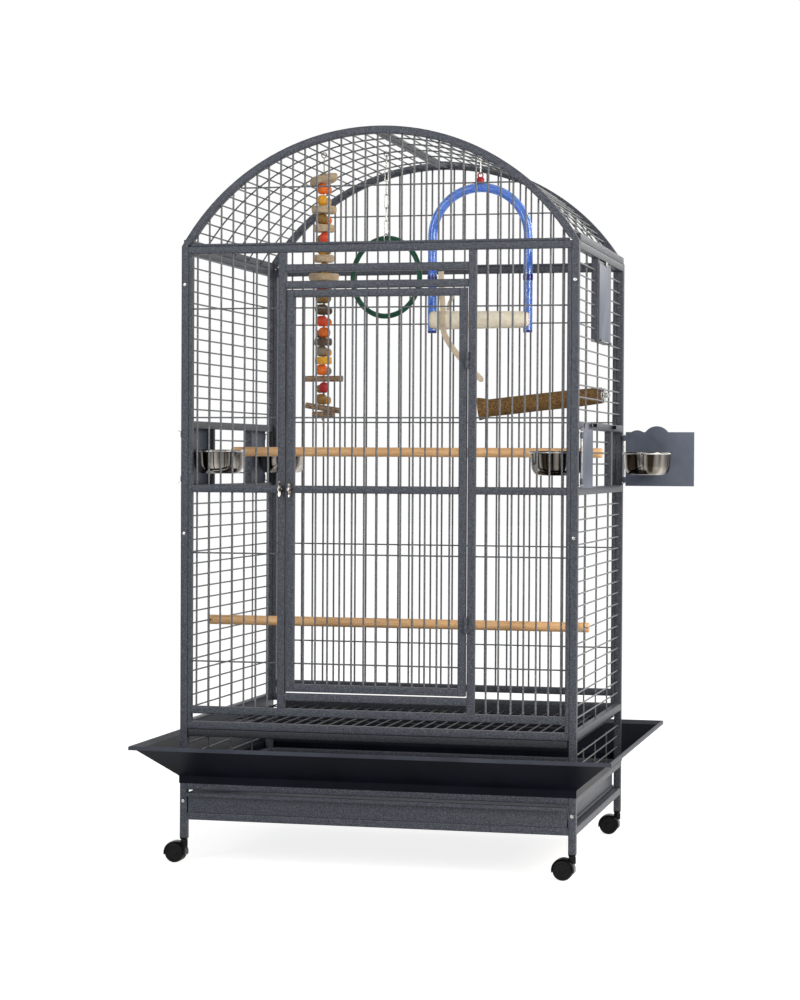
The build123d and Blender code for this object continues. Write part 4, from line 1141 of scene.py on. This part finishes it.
perchSet = {
    "thick": 0.0245,
    "thin": 0.0213,
    "short": 0.008,  # how far it ends inside its drawn length
    "ease": 0.003, "rough": 0.0009, "grain": 160, "steps": 60, "sides": 36,
}


def makeSwingPerch(s):
    low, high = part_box("swing_perch")
    centre = (low + high) / 2
    left, right = low.x + s["short"], high.x - s["short"]
    rings = []
    for i in range(s["steps"] + 1):
        share = i / s["steps"]
        x = left + (right - left) * share
        radius = s["thick"] + (s["thin"] - s["thick"]) * share
        radius -= s["ease"] * max(0, 1 - min(x - left, right - x) / s["ease"]) ** 2
        ring = []
        for out in circlePoints(Vector(), 1, s["sides"], (0, 1, 0)):
            spot = Vector((x, centre.y, centre.z)) + out * radius
            ring.append(spot + out * noise.noise(spot * s["grain"]) * s["rough"])
        rings.append(ring)
    mesh = bmesh.new()
    addLoft(mesh, rings)
    makeFor("swing_perch", "Cast", mesh, "cement", 60)


makeSwing(swingSet)
makeSwingPerch(perchSet)

# leather strips: a long one laid round the front of the perch, and a short end that stands beside it
strapSet = {
    "thick": 0.0012,
    "round": 0.0256,           # radius of the turn on the perch
    "lift": math.radians(50),  # where it meets and leaves the perch
    "tip": 0.0075,             # length of the rounded tip
    "tipShare": 0.25,          # its least width, as a share
    "woundSteps": 6,
    "long": {
        "wide": 0.015,
        "at": 0.033,
        "upper": ((0.026, -0.014, 0.126), (0.030, -0.026, 0.075)),
        "lower": ((0.034, -0.018, -0.062), (0.141, -0.022, -0.160)),
    },
    "short": {
        "wide": 0.010,
        "upper": ((0.061, -0.016, 0.062), (0.047, -0.006, 0.052)),
        "foot": (0.044, -0.006, 0.025),
    },
}


def bendPoints(start, middle, end, steps=60):
    shares = [i / steps for i in range(steps + 1)]
    return [start.lerp(middle, t).lerp(middle.lerp(end, t), t) for t in shares]


def makeStrap(name, rows, wide, s):
    spots = [spot for spot, face in rows]
    gaps = [(b - a).length for a, b in zip(spots, spots[1:])]
    rings = []
    for i, (spot, face) in enumerate(rows):
        along = (spots[min(i + 1, len(spots) - 1)] - spots[max(i - 1, 0)]).normalized()
        across = along.cross(face).normalized()
        out = across.cross(along)
        left = min(sum(gaps[i:]), s["tip"])
        width = wide * max(s["tipShare"], math.sqrt(1 - (1 - left / s["tip"]) ** 2))
        outline = roundedRect(width, s["thick"], s["thick"] * 0.4)
        rings.append([spot + across * a + out * b for a, b in outline])
    mesh = bmesh.new()
    addLoft(mesh, rings)
    strap = makePiece(name, mesh, "leather", "swing_perch", (), 60)


def makeStraps(s):
    perch = boxCentre("swing_perch")
    base = Vector((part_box("swing_bow")[0].x + swingSet["tube"], perch.y, perch.z))
    front = Vector((0, -1, 0))
    put = s["long"]
    wound = []
    for i in range(2 * s["woundSteps"] + 1):
        angle = s["lift"] * (1 - i / s["woundSteps"])
        face = Vector((0, -math.cos(angle), math.sin(angle)))
        wound.append((base + Vector((put["at"], 0, 0)) + face * s["round"], face))
    start, middle = [base + Vector(p) for p in put["upper"]]
    rows = [(spot, front) for spot in bendPoints(start, middle, wound[0][0])[:-1]] + wound
    middle, end = [base + Vector(p) for p in put["lower"]]
    rows += [(spot, front) for spot in bendPoints(wound[-1][0], middle, end)[1:]]
    makeStrap("swingStrapLong", rows, put["wide"], s)
    put = s["short"]
    end, middle = [base + Vector(p) for p in put["upper"]]
    rows = [(spot, front) for spot in bendPoints(base + Vector(put["foot"]), middle, end)]
    makeStrap("swingStrapShort", rows, put["wide"], s)


makeStraps(strapSet)
print("arch swing")

# stage: pale floor, soft lamps and a white room
stageSet = {
    "floorHalf": 30.0,
    "floor": ((238, 238, 238), (244, 244, 244)),
    "whiteShare": 0.5,  # how much of the floor's colour is glow, as seen
    "glow": 1.64,
    "room": 0.45,       # the world's strength on the object
    "lamps": (  # name, place, size, power, colour
        ("keyLamp", (3.0, -1.9, 2.2), 1.8, 120, (1.0, 0.91, 0.78)),
        ("frontLamp", (-1.8, -5.0, 2.6), 1.8, 80, (0.94, 0.97, 1.0)),
        ("rimLamp", (2.6, 3.4, 3.0), 2.0, 70, (1.0, 0.97, 0.92)),
    ),
    "aim": (0, 0, 0.95),
}


def whiteRays(tree):
    rays = addNode(tree, "LightPath").outputs
    seen = rays["Is Camera Ray"]
    for word in ("Is Glossy Ray", "Is Transmission Ray"):
        seen = addMath(tree, seen, rays[word], "MAXIMUM")
    return seen


def addStage(s):
    half = s["floorHalf"]
    data = bpy.data.meshes.new("paleFloor")
    data.from_pydata([(-half, -half, 0), (half, -half, 0), (half, half, 0), (-half, half, 0)], [], [(0, 1, 2, 3)])
    finish, tree, shader, coords = newFinish("floorWhite")
    grain = addNoise(tree, coords, 3, 2, 0.5)
    dark, light = s["floor"]
    tree.links.new(addRamp(tree, grain, ((0.0, dark), (1.0, light))), shader.inputs["Base Color"])
    shader.inputs["Roughness"].default_value = 0.8
    glow = addNode(tree, "Emission", {"Color": (1, 1, 1, 1), "Strength": s["glow"]})
    share = addMath(tree, whiteRays(tree), s["whiteShare"], "MULTIPLY")
    mixed = addNode(tree, "MixShader", {0: share, 1: shader.outputs[0], 2: glow.outputs[0]})
    tree.links.new(mixed.outputs[0], tree.nodes["Material Output"].inputs["Surface"])
    data.materials.append(finish)
    floor = putObject("paleFloor", data)
    world = bpy.data.worlds.new("whiteRoom")
    bpy.context.scene.world = world
    world.use_nodes = True
    tree = world.node_tree
    strength = addSpread(tree, whiteRays(tree), s["room"], 1.0)
    tree.nodes["Background"].inputs["Color"].default_value = (1, 1, 1, 1)
    tree.links.new(strength, tree.nodes["Background"].inputs["Strength"])
    for name, place, size, power, colour in s["lamps"]:
        lamp = bpy.data.lights.new(name, "AREA")
        lamp.size = size
        lamp.energy = power
        lamp.color = colour
        held = putObject(name, lamp)
        held.location = place
        held.rotation_euler = (Vector(s["aim"]) - Vector(place)).to_track_quat("-Z", "Y").to_euler()
    bpy.context.scene.view_settings.view_transform = "Standard"


addStage(stageSet)
print("stage")
